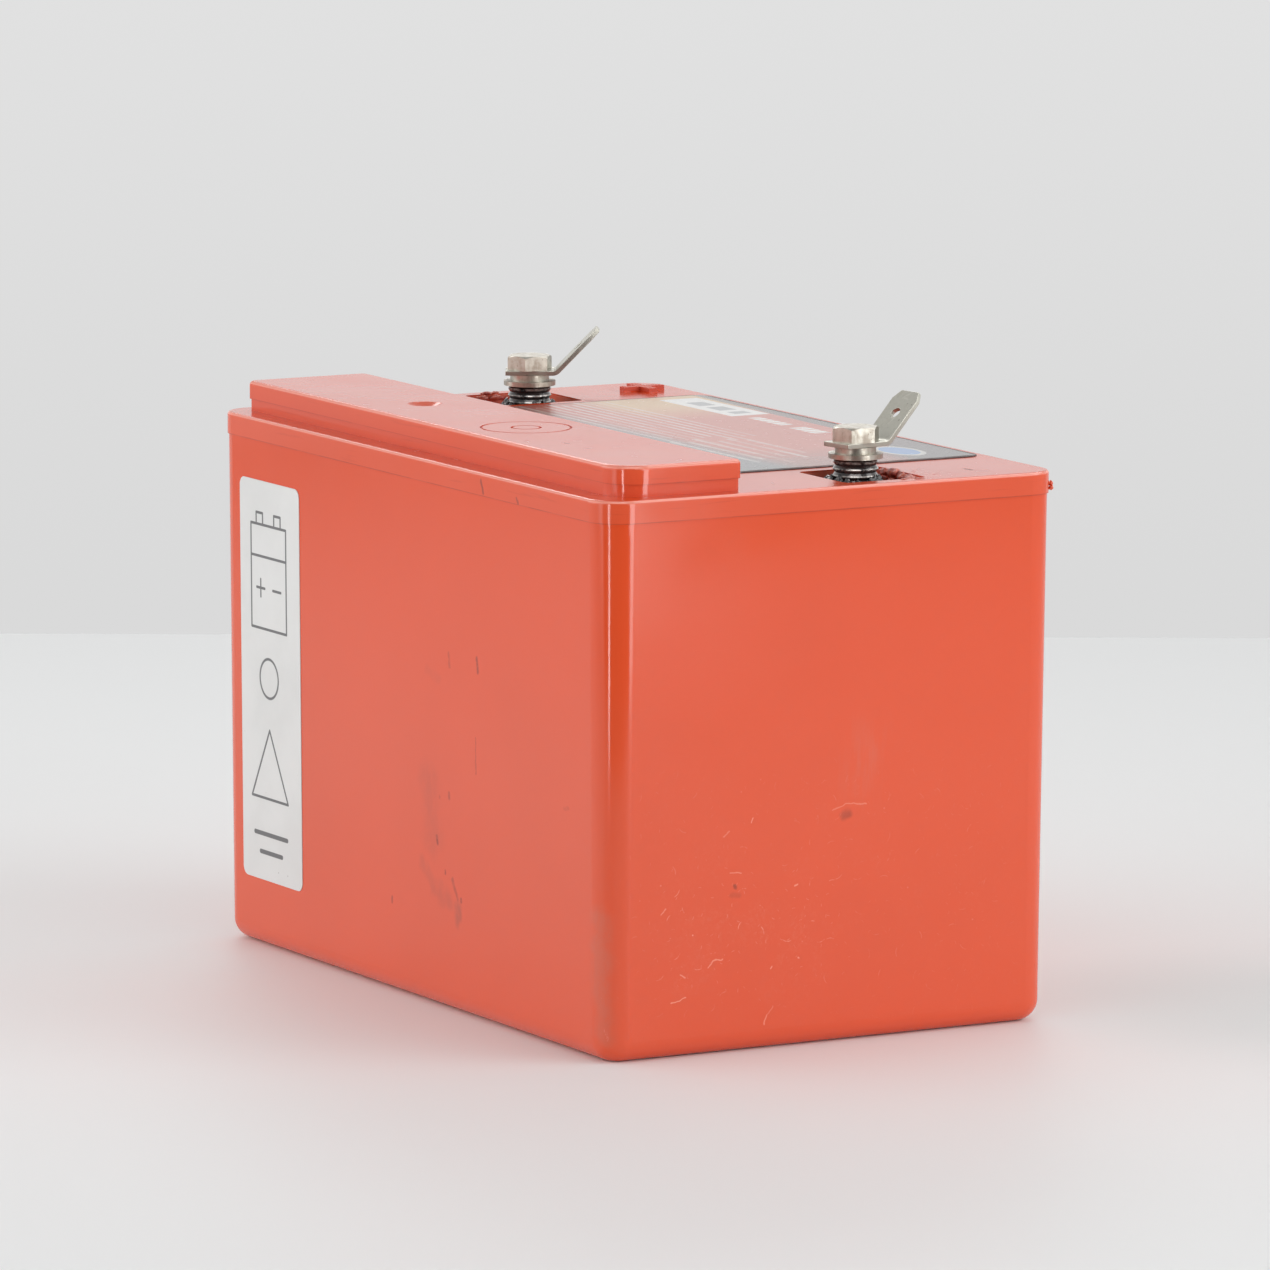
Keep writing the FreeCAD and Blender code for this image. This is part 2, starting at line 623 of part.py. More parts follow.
def build_cell(make, s, at, cell):
    """Plates and glass mats of one cell, packed along X, and the two straps on the plates' lugs."""
    number = cell + 1
    positives = s["positive_count"]
    negatives = positives + 1
    mats = positives * 2
    pack = at.cell_width - s["stack_gap"] * 2
    plates = positives * s["positive_thickness"] + negatives * s["negative_thickness"]
    mat = (pack - plates) / mats
    pitch = s["positive_thickness"] + s["negative_thickness"] + mat * 2
    start = at.cell_centre(cell) - pack / 2
    mat_half = at.inner_half_y - s["mat_gap"]
    plate_half = mat_half - s["mat_overlap"]
    side = 1 if cell % 2 == 0 else -1
    positive_y = side * s["terminal_place"]

    body = make.body(f"negative_plates_{number}")
    outline = make.sketch(body, "outline", "YZ_Plane", start)
    plate_outline(s, at, outline, plate_half, -positive_y)
    plate = make.pad(outline, "plate", s["negative_thickness"])
    make.row_of([plate], "plates", pitch, negatives)

    body = make.body(f"positive_plates_{number}")
    first = start + s["negative_thickness"] + mat
    outline = make.sketch(body, "outline", "YZ_Plane", first)
    plate_outline(s, at, outline, plate_half, positive_y)
    plate = make.pad(outline, "plate", s["positive_thickness"])
    make.row_of([plate], "plates", pitch, positives)

    body = make.body(f"glass_mats_{number}")
    low = s["floor_thickness"]
    top = at.plate_top + s["mat_overlap"]
    sheets = []
    for name, offset in (("first", start + s["negative_thickness"]), ("second", first + s["positive_thickness"])):
        outline = make.sketch(body, f"{name}_outline", "YZ_Plane", offset)
        polygon(outline, box_points(-mat_half, mat_half, low, top))
        sheets.append(make.pad(outline, f"{name}_sheet", mat))
    make.row_of(sheets, "sheets", pitch, positives)

    last = cell == int(s["cell_count"].value) - 1
    build_strap(make, s, at, f"positive_strap_{number}", cell, positive_y, 0 if cell == 0 else -1)
    build_strap(make, s, at, f"negative_strap_{number}", cell, -positive_y, 0 if last else 1)


def build_strap(make, s, at, name, cell, middle_y, wall):
    """A cast bar on the lugs of one polarity. Towards the wall that it is welded to, it has an upright."""
    body = make.body(name)
    centre = at.cell_centre(cell)
    reach = at.cell_width / 2
    left = centre - reach + (s["strap_gap"] if wall != -1 else 0)
    right = centre + reach - (s["strap_gap"] if wall != 1 else 0)
    half_y = s["lug_width"] / 2 + s["strap_rim"]
    bar = make.sketch(body, "bar_outline", offset=at.strap_bottom)
    polygon(bar, box_points(left, right, middle_y - half_y, middle_y + half_y))
    make.pad(bar, "bar", s["strap_thickness"])
    if wall == 0:
        return
    near = left if wall == -1 else right - s["link_thickness"]
    half_y = s["lug_width"] / 2
    link = make.sketch(body, "link_outline", offset=at.strap_top)
    polygon(link, box_points(near, near + s["link_thickness"], middle_y - half_y, middle_y + half_y))
    make.pad(link, "link", at.link_top - at.strap_top)


def build_weld(make, s, at, wall):
    """The lead that joins two straps through a partition's window."""
    body = make.body(f"partition_weld_{wall + 1}")
    middle_y = (-1 if wall % 2 == 0 else 1) * s["terminal_place"]
    start = at.cell_centre(wall) + at.cell_width / 2
    section = make.sketch(body, "section", "YZ_Plane", start)
    circle(section, s["weld_radius"], middle_y, at.weld_height)
    make.pad(section, "slug", s["partition"])


def build_post(make, s, at, name, x):
    """A ribbed post with a tapped hole, on a foot that is fused to the end strap."""
    body = make.body(name)
    bore = s["thread_radius"] + s["thread_gap"]
    foot_top = at.strap_top + s["post_foot"]
    groove = s["post_radius"] - s["rib_depth"]
    points = [(bore, at.post_top), (groove, at.post_top)]
    for rib in range(int(s["rib_count"].value)):
        crest = at.post_top - s["rib_pitch"] * (rib + 0.5)
        points.append((s["post_radius"], crest))
        points.append((groove, crest - s["rib_pitch"] / 2))
    points += [
        (s["post_radius"], at.post_top - s["rib_pitch"] * (s["rib_count"] + 0.5)),
        (s["post_radius"], foot_top),
        (s["post_foot_radius"], foot_top),
        (s["post_foot_radius"], at.strap_top),
        (0, at.strap_top),
        (0, at.post_top - s["thread_depth"] - bore / 2),
        (bore, at.post_top - s["thread_depth"]),
    ]
    profile = make.sketch(body, "profile", "XZ_Plane")
    polygon(profile, points)
    make.turn("PartDesign::Revolution", profile, "post")
    place(body, x, s["terminal_place"])


def build_seal(make, s, at, name, x):
    """Cast resin that fills the well round a post and climbs it a little."""
    body = make.body(name)
    bottom = at.pocket_floor - s["seal_depth"]
    profile = make.sketch(body, "profile", "XZ_Plane")
    polygon(profile, [
        (s["post_radius"], bottom),
        (at.seal_radius, bottom),
        (at.seal_radius, at.pocket_floor),
        (s["post_radius"] + s["seal_skirt"], at.pocket_floor + s["seal_skirt"]),
        (s["post_radius"], at.pocket_floor + s["seal_rise"]),
    ])
    make.turn("PartDesign::Revolution", profile, "resin")
    place(body, x, s["terminal_place"])


def build_bolt(make, s, at, name, x):
    body = make.body(name)
    head = make.sketch(body, "hexagon")
    corner = s["hex_flats"] / math.sqrt(3)
    points = []
    for step in range(6):
        angle = math.radians(60 * step + 30)
        points.append((corner * math.cos(angle), corner * math.sin(angle)))
    polygon(head, points)
    make.pad(head, "head", s["hex_height"])

    shank = make.sketch(body, "shank_outline")
    circle(shank, s["thread_radius"])
    make.pad(shank, "shank", s["bolt_length"], flip=True)

    bevel = make.sketch(body, "bevel_profile", "XZ_Plane")
    slope = 1 / math.tan(math.radians(30))
    outside = corner + s["hex_chamfer"]
    polygon(bevel, [
        (corner - s["hex_chamfer"] * slope, s["hex_height"]),
        (outside, s["hex_height"]),
        (outside, s["hex_height"] - s["hex_chamfer"] - s["hex_chamfer"] / slope),
    ])
    make.turn("PartDesign::Groove", bevel, "bevel")
    turn_about(body, (0, 0, 1), s["hex_turn"])
    place(body, x, s["terminal_place"], at.head_bottom)


def build_flat_washer(make, s, at, name, x):
    body = make.body(name)
    ring = make.sketch(body, "ring")
    circle(ring, s["flat_washer_radius"])
    circle(ring, s["thread_radius"] + s["washer_gap"])
    make.pad(ring, "washer", s["flat_washer_thickness"])
    place(body, x, s["terminal_place"], at.post_top)


def build_lock_washer(make, s, at, name, x):
    """A split spring washer, pressed flat, with its slanted gap on the +Y side."""
    body = make.body(name)
    ring = make.sketch(body, "ring")
    circle(ring, s["lock_washer_radius"])
    circle(ring, s["thread_radius"] + s["washer_gap"] / 2)
    make.pad(ring, "washer", s["lock_washer_thickness"])
    gap = make.sketch(body, "gap_outline", "XZ_Plane")
    half = s["split_width"] / 2
    lean = s["split_slant"] / 2
    polygon(gap, [
        (-half - lean, 0),
        (half - lean, 0),
        (half + lean, s["lock_washer_thickness"]),
        (lean - half, s["lock_washer_thickness"]),
    ])
    make.pocket(gap, "gap", s["lock_washer_radius"] * 2)
    place(body, x, s["terminal_place"], at.lock_washer_bottom)


def build_tab(make, s, at, name, x, turn):
    """A bent blade terminal, drawn along X with the bolt at the origin."""
    body = make.body(name)
    side = make.sketch(body, "side_profile", "XZ_Plane")
    bent_strip(s, side)
    make.pad(side, "strip", s["tab_width"], both_ways=True)

    bolt_hole = make.sketch(body, "bolt_hole_outline")
    circle(bolt_hole, s["thread_radius"] + s["washer_gap"])
    make.pocket(bolt_hole, "bolt_hole", s["tab_thickness"], flip=True)

    blade = make.sketch(body, "tip_outline")
    reach, rise = blade_tip(s)
    tilt = FreeCAD.Rotation(FreeCAD.Vector(0, 1, 0), -s["tab_tilt"].value)
    blade.AttachmentOffset = FreeCAD.Placement(FreeCAD.Vector(reach.value, 0, rise.value), tilt)
    bind(blade, "AttachmentOffset.Base.x", reach)
    bind(blade, "AttachmentOffset.Base.z", rise)
    bind(blade, "AttachmentOffset.Rotation.Angle", s["tab_tilt"])
    edge = s["tab_width"] / 2
    spare = s["tab_thickness"]
    for sign in (1, -1):
        points = [
            (-s["tab_tip_length"], sign * edge),
            (0, sign * (edge - s["tab_tip_width"])),
            (spare, sign * (edge - s["tab_tip_width"])),
            (spare, sign * (edge + spare)),
            (-s["tab_tip_length"], sign * (edge + spare)),
        ]
        polygon(blade, points if sign == 1 else points[::-1])
    circle(blade, s["tab_hole_radius"], -s["tab_hole_place"], 0)
    make.pocket(blade, "tip", s["tab_thickness"] * 3, both_ways=True)
    turn_about(body, (0, 0, 1), turn)
    place(body, x, s["terminal_place"], at.tab_bottom)


def sine(angle):
    return Size(math.sin(math.radians(angle.value)), f"sin({angle.text} * 1 deg)")


def cosine(angle):
    return Size(math.cos(math.radians(angle.value)), f"cos({angle.text} * 1 deg)")


def blade_tip(s):
    """The lower corner of the blade's tip, in X and Z."""
    outer = s["tab_bend_radius"] + s["tab_thickness"]
    reach = s["tab_bend_start"] + outer * sine(s["tab_tilt"]) + s["tab_blade"] * cosine(s["tab_tilt"])
    rise = outer - outer * cosine(s["tab_tilt"]) + s["tab_blade"] * sine(s["tab_tilt"])
    return reach, rise


def bent_strip(s, sketch):
    """The side view of the blade terminal: a flat, a round bend and a straight blade."""
    thick = s["tab_thickness"]
    inner = s["tab_bend_radius"]
    outer = inner + thick
    tilt = math.radians(s["tab_tilt"].value)
    start = s["tab_bend_start"].value
    reach, rise = blade_tip(s)
    across = (-math.sin(tilt), math.cos(tilt))
    centre = FreeCAD.Vector(start, outer.value, 0)
    arcs = {}
    for name, radius in (("outer", outer), ("inner", inner)):
        whole = Part.Circle(centre, FreeCAD.Vector(0, 0, 1), radius.value)
        arcs[name] = Part.ArcOfCircle(whole, -math.pi / 2, -math.pi / 2 + tilt)
    rear = -s["tab_rear"].value
    tip_low = FreeCAD.Vector(reach.value, rise.value, 0)
    tip_high = tip_low + FreeCAD.Vector(across[0], across[1], 0) * thick.value
    bottom = sketch.addGeometry(Part.LineSegment(FreeCAD.Vector(rear, 0, 0), arcs["outer"].StartPoint), False)
    bend = sketch.addGeometry(arcs["outer"], False)
    under = sketch.addGeometry(Part.LineSegment(arcs["outer"].EndPoint, tip_low), False)
    tip = sketch.addGeometry(Part.LineSegment(tip_low, tip_high), False)
    upper = sketch.addGeometry(Part.LineSegment(tip_high, arcs["inner"].EndPoint), False)
    inside = sketch.addGeometry(arcs["inner"], False)
    top = sketch.addGeometry(Part.LineSegment(arcs["inner"].StartPoint, FreeCAD.Vector(rear, thick.value, 0)), False)
    end = sketch.addGeometry(Part.LineSegment(FreeCAD.Vector(rear, thick.value, 0), FreeCAD.Vector(rear, 0, 0)), False)
    for first, first_end, second, second_end in (
        (bottom, 2, bend, 1), (bend, 2, under, 1), (upper, 2, inside, 2), (inside, 1, top, 1),
    ):
        sketch.addConstraint(Sketcher.Constraint("Tangent", first, first_end, second, second_end))
    for first, second in ((under, tip), (tip, upper), (top, end), (end, bottom)):
        sketch.addConstraint(Sketcher.Constraint("Coincident", first, 2, second, 1))
    sketch.addConstraint(Sketcher.Constraint("Horizontal", bottom))
    sketch.addConstraint(Sketcher.Constraint("Vertical", end))
    sketch.addConstraint(Sketcher.Constraint("Perpendicular", under, tip))
    sketch.addConstraint(Sketcher.Constraint("Coincident", bend, 3, inside, 3))
    pin_point(sketch, bottom, 1, -s["tab_rear"], 0)
    index = sketch.addConstraint(Sketcher.Constraint("DistanceX", -1, 1, bottom, 2, start))
    bind(sketch, f"Constraints[{index}]", s["tab_bend_start"])
    for arc, radius in ((bend, outer), (inside, inner)):
        index = sketch.addConstraint(Sketcher.Constraint("Radius", arc, radius.value))
        bind(sketch, f"Constraints[{index}]", radius)
    pin_point(sketch, under, 2, reach, rise)


def build_top_film(make, s, at):
    body = make.body("top_label")
    outline = make.sketch(body, "outline", offset=s["lid_top"])
    half_x = s["lid_length"] / 2 - s["top_film_end"]
    low = at.cover_high_y + s["top_film_cover_gap"]
    high = s["lid_width"] / 2 - s["top_film_side"]
    rectangle(outline, -half_x, half_x, low, high, [s["top_film_corner"]] * 4)
    make.pad(outline, "film", s["film_thickness"])


def build_side_film(make, s, at):
    """The label on the -Y side, leaned with the case's draft."""
    body = make.body("side_label")
    outline = make.sketch(body, "outline", "XZ_Plane")
    left = s["side_film_end"] - s["lid_length"] / 2
    high = s["skirt_height"] - s["side_film_drop"]
    low = s["side_film_rise"] - at.seam
    rectangle(outline, left, left + s["side_film_width"], low, high, [s["side_film_corner"]] * 4)
    make.pad(outline, "film", s["film_thickness"])
    turn_about(body, (1, 0, 0), slope_angle(s["case_draft"], at.seam))
    place(body, y=-at.case_half_y, z=at.seam)


def build_block():
    doc = FreeCAD.newDocument("sealed_battery")
    s = fill_sheet(doc)
    at = Layout(s)
    make = Maker(doc)
    build_case(make, s, at)
    build_lid(make, s, at)
    build_vent_cover(make, s, at)
    cells = int(s["cell_count"].value)
    for cell in range(cells):
        build_valve(make, s, at, cell)
        build_cell(make, s, at, cell)
    for wall in range(cells - 1):
        build_weld(make, s, at, wall)
    ends = (
        ("positive", -at.terminal_x, s["tab_turn_positive"]),
        ("negative", at.terminal_x, s["tab_turn_negative"]),
    )
    for sign, x, turn in ends:
        build_post(make, s, at, f"{sign}_post", x)
        build_seal(make, s, at, f"{sign}_resin_seal", x)
        build_flat_washer(make, s, at, f"{sign}_flat_washer", x)
        build_lock_washer(make, s, at, f"{sign}_lock_washer", x)
        build_tab(make, s, at, f"{sign}_blade_terminal", x, turn)
        build_bolt(make, s, at, f"{sign}_bolt", x)
    build_top_film(make, s, at)
    build_side_film(make, s, at)
    doc.recompute()
    return doc, make.bodies


def check(doc, bodies):
    """Stop before anything is written if a feature failed or a shape is empty or invalid."""
    faults = []
    for item in doc.Objects:
        if "Invalid" in item.State or "Error" in item.State:
            faults.append(f"{item.Name} {item.State}")
    for body in bodies:
        if body.Shape.isNull() or not body.Shape.isValid() or not body.Shape.Solids:
            faults.append(f"{body.Label} has no valid shape")
    if faults:
        raise RuntimeError("; ".join(faults))


def write_steps(bodies):
    os.makedirs("parts", exist_ok=True)
    for body in bodies:
        body.Shape.exportStep(f"parts/{body.Label}.step")
        print(f"{body.Label}: {len(body.Shape.Solids)} solid, {body.Shape.Volume:.1f} mm3")


doc, bodies = build_block()
check(doc, bodies)
write_steps(bodies)
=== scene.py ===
"""A sealed twelve-volt lead acid block on a pale table.

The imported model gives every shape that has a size. This script adds the finish of each surface,
the small moulded, cast and worn detail, and the studio. Objects are in metres. Marks on the
surfaces and the script's own pieces are placed in millimetres in the same frame."""

import math

import bmesh
import bpy
from mathutils import Matrix, Vector, noise


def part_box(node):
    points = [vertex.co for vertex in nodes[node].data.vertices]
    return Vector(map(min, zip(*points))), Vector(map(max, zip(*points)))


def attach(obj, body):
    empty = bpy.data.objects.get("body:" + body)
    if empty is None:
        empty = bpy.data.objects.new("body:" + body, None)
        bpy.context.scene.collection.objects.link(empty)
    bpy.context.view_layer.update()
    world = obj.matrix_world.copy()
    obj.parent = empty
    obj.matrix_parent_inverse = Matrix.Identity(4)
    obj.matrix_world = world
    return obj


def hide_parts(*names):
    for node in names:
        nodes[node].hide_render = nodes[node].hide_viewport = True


MM = 0.001
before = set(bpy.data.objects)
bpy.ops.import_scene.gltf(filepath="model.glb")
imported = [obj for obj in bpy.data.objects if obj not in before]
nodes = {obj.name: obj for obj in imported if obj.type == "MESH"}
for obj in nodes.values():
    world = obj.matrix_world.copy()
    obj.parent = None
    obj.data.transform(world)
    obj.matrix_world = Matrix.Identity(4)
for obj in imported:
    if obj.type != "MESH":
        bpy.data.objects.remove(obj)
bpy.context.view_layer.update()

# The camera that fits the photograph: its direction from the block and its roll, its distance
# and aim in metres, and its lens in millimetres.
CAMERA_AZIMUTH = math.radians(60.714)
CAMERA_ELEVATION = math.radians(8.444)
CAMERA_ROLL = math.radians(0.213)
CAMERA_DISTANCE = 1.6132
CAMERA_AIM = (0.00116, 0.0588)
SENSOR_WIDTH = 36.0
LENS = 270.37

# The table's near and far edge from the block's middle and its half width, in metres.
TABLE_DEPTH = (-0.33, 0.395)
TABLE_HALF_WIDTH = 0.9

# Lamps: azimuth and elevation in degrees, distance and size in metres, and power in watts.
LAMP_AIM_HEIGHT = 0.05
LAMPS = {
    "left_softbox": (-112, 12, 1.0, (1.3, 0.9), 4.6),
    "right_softbox": (45, 26, 1.2, (0.7, 0.7), 3.7),
    "right_panel": (15.3, 0, 0.66, (0.183, 0.36), 1.12),
    "left_strip": (-58, -3, 0.97, (0.075, 0.56), 1.35),
}
SHINE_LAMPS = {
    "back_softbox": (160, 34, 1.2, (0.6, 0.25), 2.2),
    "overhead_strip": (-28, 62, 1.2, (0.9, 0.45), 5.0),
    "far_softbox": (92, 52, 1.2, (1.1, 0.6), 6.0),
}

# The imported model's places in millimetres. The front post is at +X and the rear one at -X.
POST_PLACE = (55.8, 11.4)
POST_RADIUS = 3.8
LID_TOP = 92.2
POCKET_FLOOR = 90.0
# A pocket's walls from its post's axis: towards +X at the front one or -X at the rear one, the
# other way along X, and both ways along Y.
POCKET_REACH = (10.0, 5.8, 7.7)
# Areas of the lid by two corners in x and y, and its seams by lowest and highest z.
POCKET_AREA = ((48.0, 2.5), (67.5, 20.5))
TORN_AREA = ((57.0, 14.0), (66.0, 24.0))
PLUS_SIGN = ((-62.0, 30.3), (-53.0, 39.3))
SEAM_HEIGHTS = [(94.15, 94.25), (88.40, 88.52)]

# The blade terminal in millimetres and degrees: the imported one's strip from the post's axis,
# with a bevelled tip and a detent hole.
BLADE_WIDTH = 6.3
BLADE_THICKNESS = 0.8
BLADE_REAR = 4.2
BLADE_BOTTOM = 96.7
BLADE_TILT = 46.0
BLADE_REACH = 9.9
BEND_START = 4.0
BEND_RADIUS = 1.0
BEND_STEPS = 12
TIP_BEVEL = (1.7, 1.0)
DETENT_PLACE = 4.6
DETENT_RADIUS = 0.95
BOLT_HOLE_RADIUS = 2.15
EDGE_ROUNDING = 0.10

# How far noise pushes the skin of a broken lump, as a share of its size.
LUMP_ROUGHNESS = 0.45
# Spacing of the bars in the plates' grids, in millimetres.
PLATE_GRID = 6.0

HOUSING_ORANGE = (0.73, 0.079, 0.021)
# A pale tint painted on upright orange faces: a painted sheen for the whitish reflection that they
# show.
PAINTED_SHEEN = (0.75, 0.42, 0.36)

# The ring drawn on the side label: its middle by x and z, and its radius.
RING_PLACE = (-50.2, 47.5)
RING_RADIUS = 3.4

# Fields of the lid's film by two corners in x and y, and its oval by middle and half sizes.
FILM_PANEL = ((-43.3, 30.3), (-18.0, 37.8))
FILM_BLOCKS = ((-39.5, 32.4), (-20.5, 35.8))
FILM_BARS = [((-14.7, 31.6), (-3.4, 34.0)), ((0.5, 31.0), (9.0, 34.2))]
FILM_OVAL = ((35.3, 32.0), (6.2, 3.4))
# Its two printed columns: the pitch of their rules, the rules' ends in x, and their reach in y.
FILM_COLUMNS = [(1.8, (-45.0, 6.0), (1.4, 21.5)), (2.6, (9.0, 34.0), (-3.2, 18.5))]

# Marks, each by its start, end, radius and strength: nicks on the long side, by x and z.
SIDE_MARKS = [
    ((15.1, 60.6), (15.4, 58.5), 0.55, 0.4),
    ((24.8, 61.2), (25.3, 58.9), 0.6, 0.8),
    ((24.3, 47.6), (24.3, 41.8), 0.3, 0.45),
    ((14.9, 37.0), (14.9, 36.3), 0.65, 0.6),
    ((11.6, 36.1), (11.6, 35.9), 0.4, 0.4),
    ((10.4, 29.2), (10.6, 28.2), 0.6, 0.9),
    ((13.3, 23.8), (13.3, 23.4), 0.45, 0.85),
    ((15.8, 22.7), (17.7, 19.7), 0.6, 0.55),
    ((18.8, 20.0), (18.9, 19.4), 0.45, 0.9),
    ((-5.8, 16.4), (-5.7, 15.6), 0.45, 0.65),
    ((54.5, 40.5), (56.0, 40.6), 0.5, 0.25),
]
# Broad dull smears on the long side, by x and z.
SIDE_SMEARS = [
    ((18.1, 18.6), (17.9, 16.2), 1.9, 0.85),
    ((5.4, 24.4), (9.7, 20.2), 1.8, 0.35),
    ((9.7, 20.2), (15.0, 18.8), 2.6, 0.40),
    ((7.7, 38.3), (9.3, 29.0), 5.0, 0.32),
    ((7.7, 56.5), (11.9, 55.7), 1.2, 0.15),
]
# Rubbed plastic down the near corner, by x and z.
CORNER_RUBS = [((65.2, 24.0), (65.9, 5.0), 2.8, 1.0)]
# Nicks on the short side, by y and z.
END_MARKS = [
    ((2.3, 37.8), (3.0, 38.0), 1.2, 0.55),
    ((-18.2, 27.7), (-18.1, 27.4), 0.45, 0.8),
    ((-18.6, 26.2), (-17.4, 26.2), 0.8, 0.25),
]
# Thin pale scratches on the short side, by y and z.
END_SCRATCHES = [
    ((-15.1, 38.1), (-14.7, 38.8), 0.18, 0.9),
    ((-20.3, 36.0), (-19.2, 36.9), 0.20, 0.45),
    ((-19.0, 30.0), (-17.0, 29.8), 0.17, 0.6),
    ((-31.8, 24.2), (-31.0, 25.0), 0.20, 0.6),
    ((-23.0, 14.7), (-22.1, 15.7), 0.17, 0.8),
    ((-22.1, 15.7), (-20.3, 15.9), 0.17, 0.8),
    ((-28.2, 13.8), (-27.3, 13.3), 0.20, 0.7),
    ((-29.8, 9.3), (-27.1, 10.0), 0.17, 0.9),
    ((-11.1, 13.5), (-10.8, 13.9), 0.20, 0.9),
    ((-6.8, 26.9), (-6.4, 27.1), 0.24, 0.9),
    ((-12.4, 4.4), (-12.0, 5.9), 0.19, 0.7),
    ((-12.0, 5.9), (-10.7, 7.1), 0.17, 0.4),
    ((0.2, 38.8), (2.6, 39.6), 0.17, 0.45),
    ((2.6, 39.6), (6.6, 39.5), 0.17, 0.5),
    ((-6.0, 14.9), (-5.9, 14.9), 0.24, 0.9),
]
# Areas of the short side by two corners in y and z: scuffed, lightly scuffed and dull.
SCUFFED_AREA = ((-34.0, 10.0), (2.0, 32.0))
WIDER_AREA = ((-38.0, 6.0), (34.0, 46.0))
DULL_PATCH = ((2.0, 40.0), (11.0, 52.0))
# Marks on the lid's skirt, by x and z.
SKIRT_MARKS = [
    ((27.2, 91.0), (28.0, 89.0), 0.5, 0.7),
    ((39.4, 89.4), (39.9, 88.7), 0.45, 0.6),
]
# Dark nicks on the flat top, by x and y.
TOP_MARKS = [
    ((34.2, -31.2), (35.6, -31.3), 0.5, 0.75),
    ((42.0, -30.6), (42.3, -31.8), 0.4, 0.6),
    ((59.6, 30.2), (61.2, 30.3), 0.6, 0.95),
    ((63.0, 30.4), (63.5, 32.0), 0.35, 0.6),
    ((-50.3, 19.4), (-49.3, 20.4), 0.65, 0.85),
    ((-49.2, 21.2), (-48.5, 22.2), 0.55, 0.75),
    ((-48.9, 23.8), (-48.6, 24.4), 0.4, 0.6),
    ((-14.6, 42.4), (-13.4, 42.5), 0.5, 0.8),
]
# Dark specks beside the cover on the film, by x and y.
FILM_MARKS = [
    ((2.6, 1.6), (5.4, 1.3), 0.6, 0.9),
    ((6.8, 1.8), (8.0, 1.5), 0.5, 0.9),
    ((12.0, 3.0), (20.0, 3.4), 0.3, 0.35),
]

# Torn plastic in the front pocket, most of it at the far corner: centre and half sizes.
FRONT_CRUMBS = [
    ((51.8, 18.9, 91.5), (0.9, 0.6, 0.6)), ((53.4, 18.5, 91.7), (1.0, 0.8, 0.6)),
    ((55.0, 18.9, 91.5), (1.0, 0.6, 0.7)), ((56.4, 18.4, 91.9), (1.2, 0.9, 0.65)),
    ((58.2, 18.7, 91.6), (1.1, 0.8, 0.7)), ((59.6, 18.3, 91.5), (1.1, 0.9, 0.6)),
    ((61.0, 18.6, 91.6), (1.2, 0.8, 0.6)), ((62.4, 18.1, 91.4), (1.3, 1.1, 0.7)),
    ((63.9, 17.4, 91.5), (1.5, 1.4, 0.65)), ((64.7, 15.7, 91.3), (1.1, 1.4, 0.7)),
    ((64.8, 18.2, 91.6), (1.0, 0.9, 0.6)), ((60.6, 17.0, 90.6), (0.8, 0.7, 0.5)),
    ((57.3, 17.3, 90.7), (0.7, 0.6, 0.5)), ((62.2, 16.4, 90.7), (0.9, 0.8, 0.6)),
    ((54.4, 17.7, 90.8), (0.6, 0.5, 0.5)), ((65.2, 13.9, 91.2), (0.6, 0.8, 0.5)),
    ((50.5, 5.5, 90.6), (0.6, 0.7, 0.5)), ((51.6, 4.4, 90.4), (0.7, 0.5, 0.4)),
    ((66.6, 17.2, 92.2), (0.5, 0.9, 0.16)), ((66.3, 14.4, 92.2), (0.3, 0.6, 0.14)),
]
# Torn plastic in the rear pocket.
REAR_CRUMBS = [
    ((-65.5, 7.2, 91.6), (0.5, 1.2, 0.5)), ((-65.6, 10.0, 91.5), (0.4, 1.3, 0.5)),
    ((-65.9, 8.2, 92.35), (0.5, 1.1, 0.28)), ((-66.2, 10.2, 92.3), (0.4, 0.6, 0.22)),
    ((-65.5, 13.0, 91.3), (0.4, 1.4, 0.5)), ((-64.3, 11.0, 90.5), (0.7, 0.8, 0.4)),
]
# A nub of flash on the lid's skirt at the far right corner.
SKIRT_FLASH = [
    ((66.35, 42.50, 89.9), (0.42, 0.40, 0.40)),
    ((66.45, 42.55, 89.2), (0.36, 0.36, 0.45)),
]

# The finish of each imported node, by a part of its name.
FINISHES = {
    "case": "housing", "lid": "lid_housing", "vent_cover": "lid_housing", "valve_cap": "rubber",
    "positive_plates": "positive_paste", "negative_plates": "negative_paste",
    "glass_mats": "glass_mat", "positive_strap": "lead", "negative_strap": "lead",
    "partition_weld": "lead", "post": "post", "resin_seal": "resin", "flat_washer": "plated_steel",
    "lock_washer": "plated_steel", "blade_terminal": "tinned_sheet", "bolt": "plated_steel",
    "top_label": "top_film", "side_label": "side_film",
}


def camera_axes():
    """Right, up and back of the camera, and the point that it looks at."""
    a, e, r = CAMERA_AZIMUTH, CAMERA_ELEVATION, CAMERA_ROLL
    back = Vector((math.sin(a) * math.cos(e), -math.cos(a) * math.cos(e), math.sin(e)))
    level = Vector((math.cos(a), math.sin(a), 0))
    upright = back.cross(level)
    right = math.cos(r) * level + math.sin(r) * upright
    up = math.cos(r) * upright - math.sin(r) * level
    aim = level * CAMERA_AIM[0] + Vector((0, 0, CAMERA_AIM[1]))
    return right, up, back, aim


def make_camera():
    right, up, back, aim = camera_axes()
    data = bpy.data.cameras.new("camera")
    data.sensor_width = SENSOR_WIDTH
    data.lens = LENS
    camera = bpy.data.objects.new("camera", data)
    place = aim + back * CAMERA_DISTANCE
    turn = Matrix((right, up, back)).transposed().to_4x4()
    camera.matrix_world = Matrix.Translation(place) @ turn
    bpy.context.scene.collection.objects.link(camera)
    bpy.context.scene.camera = camera


